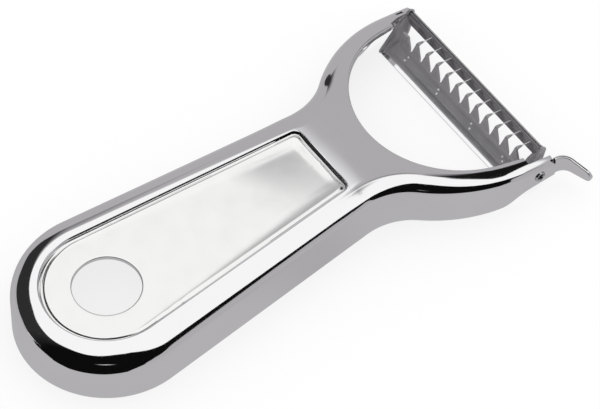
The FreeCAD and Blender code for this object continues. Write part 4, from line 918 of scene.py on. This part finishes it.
# The dark side on the camera's left, and a grey wall behind the head with a dark gap beside it
flat_card("dark_side", dome(
    [153, 164, 172, 180, 188, 200, 228, 240, 262], [34, 30, 18, 11, 14, 9, 8, 2, -1],
    [51, 53.5, 56, 57, 57, 57, 58, 60, 66], 1420),
    0.028, np.clip(round_share * 12, 0, 1))
flat_card("grey_wall", dome(
    [8, 16, 20, 24, 28, 44, 50, 60, 90, 110, 117, 124, 128, 132, 136, 145, 149, 156, 165, 180, 210, 240],
    [-1] * 22,
    [0, 5, 12, 20, 29, 31, 34, 38, 46, 49, 59, 62, 60.5, 58, 52.4, 52, 50.5, 50.8, 45, 30, 16, 8], 1500),
    0.44, np.clip((1 - up_share) * 20, 0, 1))
flat_card("dark_gap", dome(
    [62, 75, 84, 90, 97, 105, 112, 118, 122, 127], [52, 50, 47, 43, 40, 38, 36, 39, 44, 47],
    [57, 61, 63, 63.5, 64, 64.5, 63.5, 60.5, 60, 59.5], 1450),
    0.008, np.clip(np.minimum(round_share, 1 - round_share) * 10, 0, 1)
    * np.clip(np.minimum(up_share, 1 - up_share) * 8, 0, 1))
# The grey mat under the object, slightly uneven, and its dark part before the butt
mat_turn, mat_reach = np.linspace(0, 360, 73)[:, None], 1600 * np.linspace(0, 1, 24)[None] ** 3
mat_points = mat_reach[..., None] * ray(mat_turn) + CARD_CENTRE[:2]
flat_card("grey_mat", np.insert(mat_points, 2, MAT_LEVEL, axis=-1),
          0.425, 0.95 + 0.05 * np.sin(3 * np.radians(mat_turn) + mat_reach / 25))
dark_turn = np.linspace(250, 370, 61)[:, None]
dark_start = np.interp(dark_turn, [250, 258, 282, 296, 323, 340, 355, 365, 370],
                       [120, 67, 35, 29, 28, 29, 46, 120, 400])
dark_reach = dark_start + (1500 - dark_start) * np.linspace(0, 1, 30)[None] ** 3
dark_points = dark_reach[..., None] * ray(dark_turn)
flat_card("dark_mat", np.insert(dark_points, 2, DARK_MAT_LEVEL, axis=-1), 0.004)

studio = bpy.data.worlds.new("studio")
scene.world = studio
studio.use_nodes = True
studio.node_tree.nodes["Background"].inputs["Color"].default_value = (1, 1, 1, 1)
studio.node_tree.nodes["Background"].inputs["Strength"].default_value = 1.0

lamp = bpy.data.lights.new("softbox", "AREA")
lamp.shape, lamp.size, lamp.energy = "SQUARE", 0.6, 0.25
softbox = placed("softbox", lamp)
softbox_turn = Vector((-0.3, 0.25, 0.6)).to_track_quat("Z", "Y").to_matrix().to_4x4()
softbox.matrix_world = Matrix.Translation(Vector((-0.3, 0.3, 0.6))) @ softbox_turn
softbox.visible_glossy = False

VIEW_AZIMUTH, VIEW_ELEVATION, VIEW_ROLL = 53.259, 53.733, 0.636
AIM, DISTANCE = np.array([6.811, 45.604, 0.0]), 963.39
out, up = ray(VIEW_ELEVATION)
back = np.append(out * ray(VIEW_AZIMUTH - 90), up)
level = np.append(ray(VIEW_AZIMUTH), 0)
rising = np.cross(back, level)
across, upward = ray([VIEW_ROLL, VIEW_ROLL + 90]) @ np.stack([level, rising])
lens = bpy.data.cameras.new("camera")
lens.sensor_fit, lens.sensor_width, lens.lens = "HORIZONTAL", 36.0, 270.0
lens.clip_start, lens.clip_end = 0.01, 20.0
camera = placed("camera", lens)
camera_turn = Matrix(np.stack([across, upward, back], axis=1).tolist()).to_4x4()
camera.matrix_world = Matrix.Translation(Vector((AIM + DISTANCE * back) * MM)) @ camera_turn
scene.camera = camera
scene.view_settings.view_transform = "Standard"
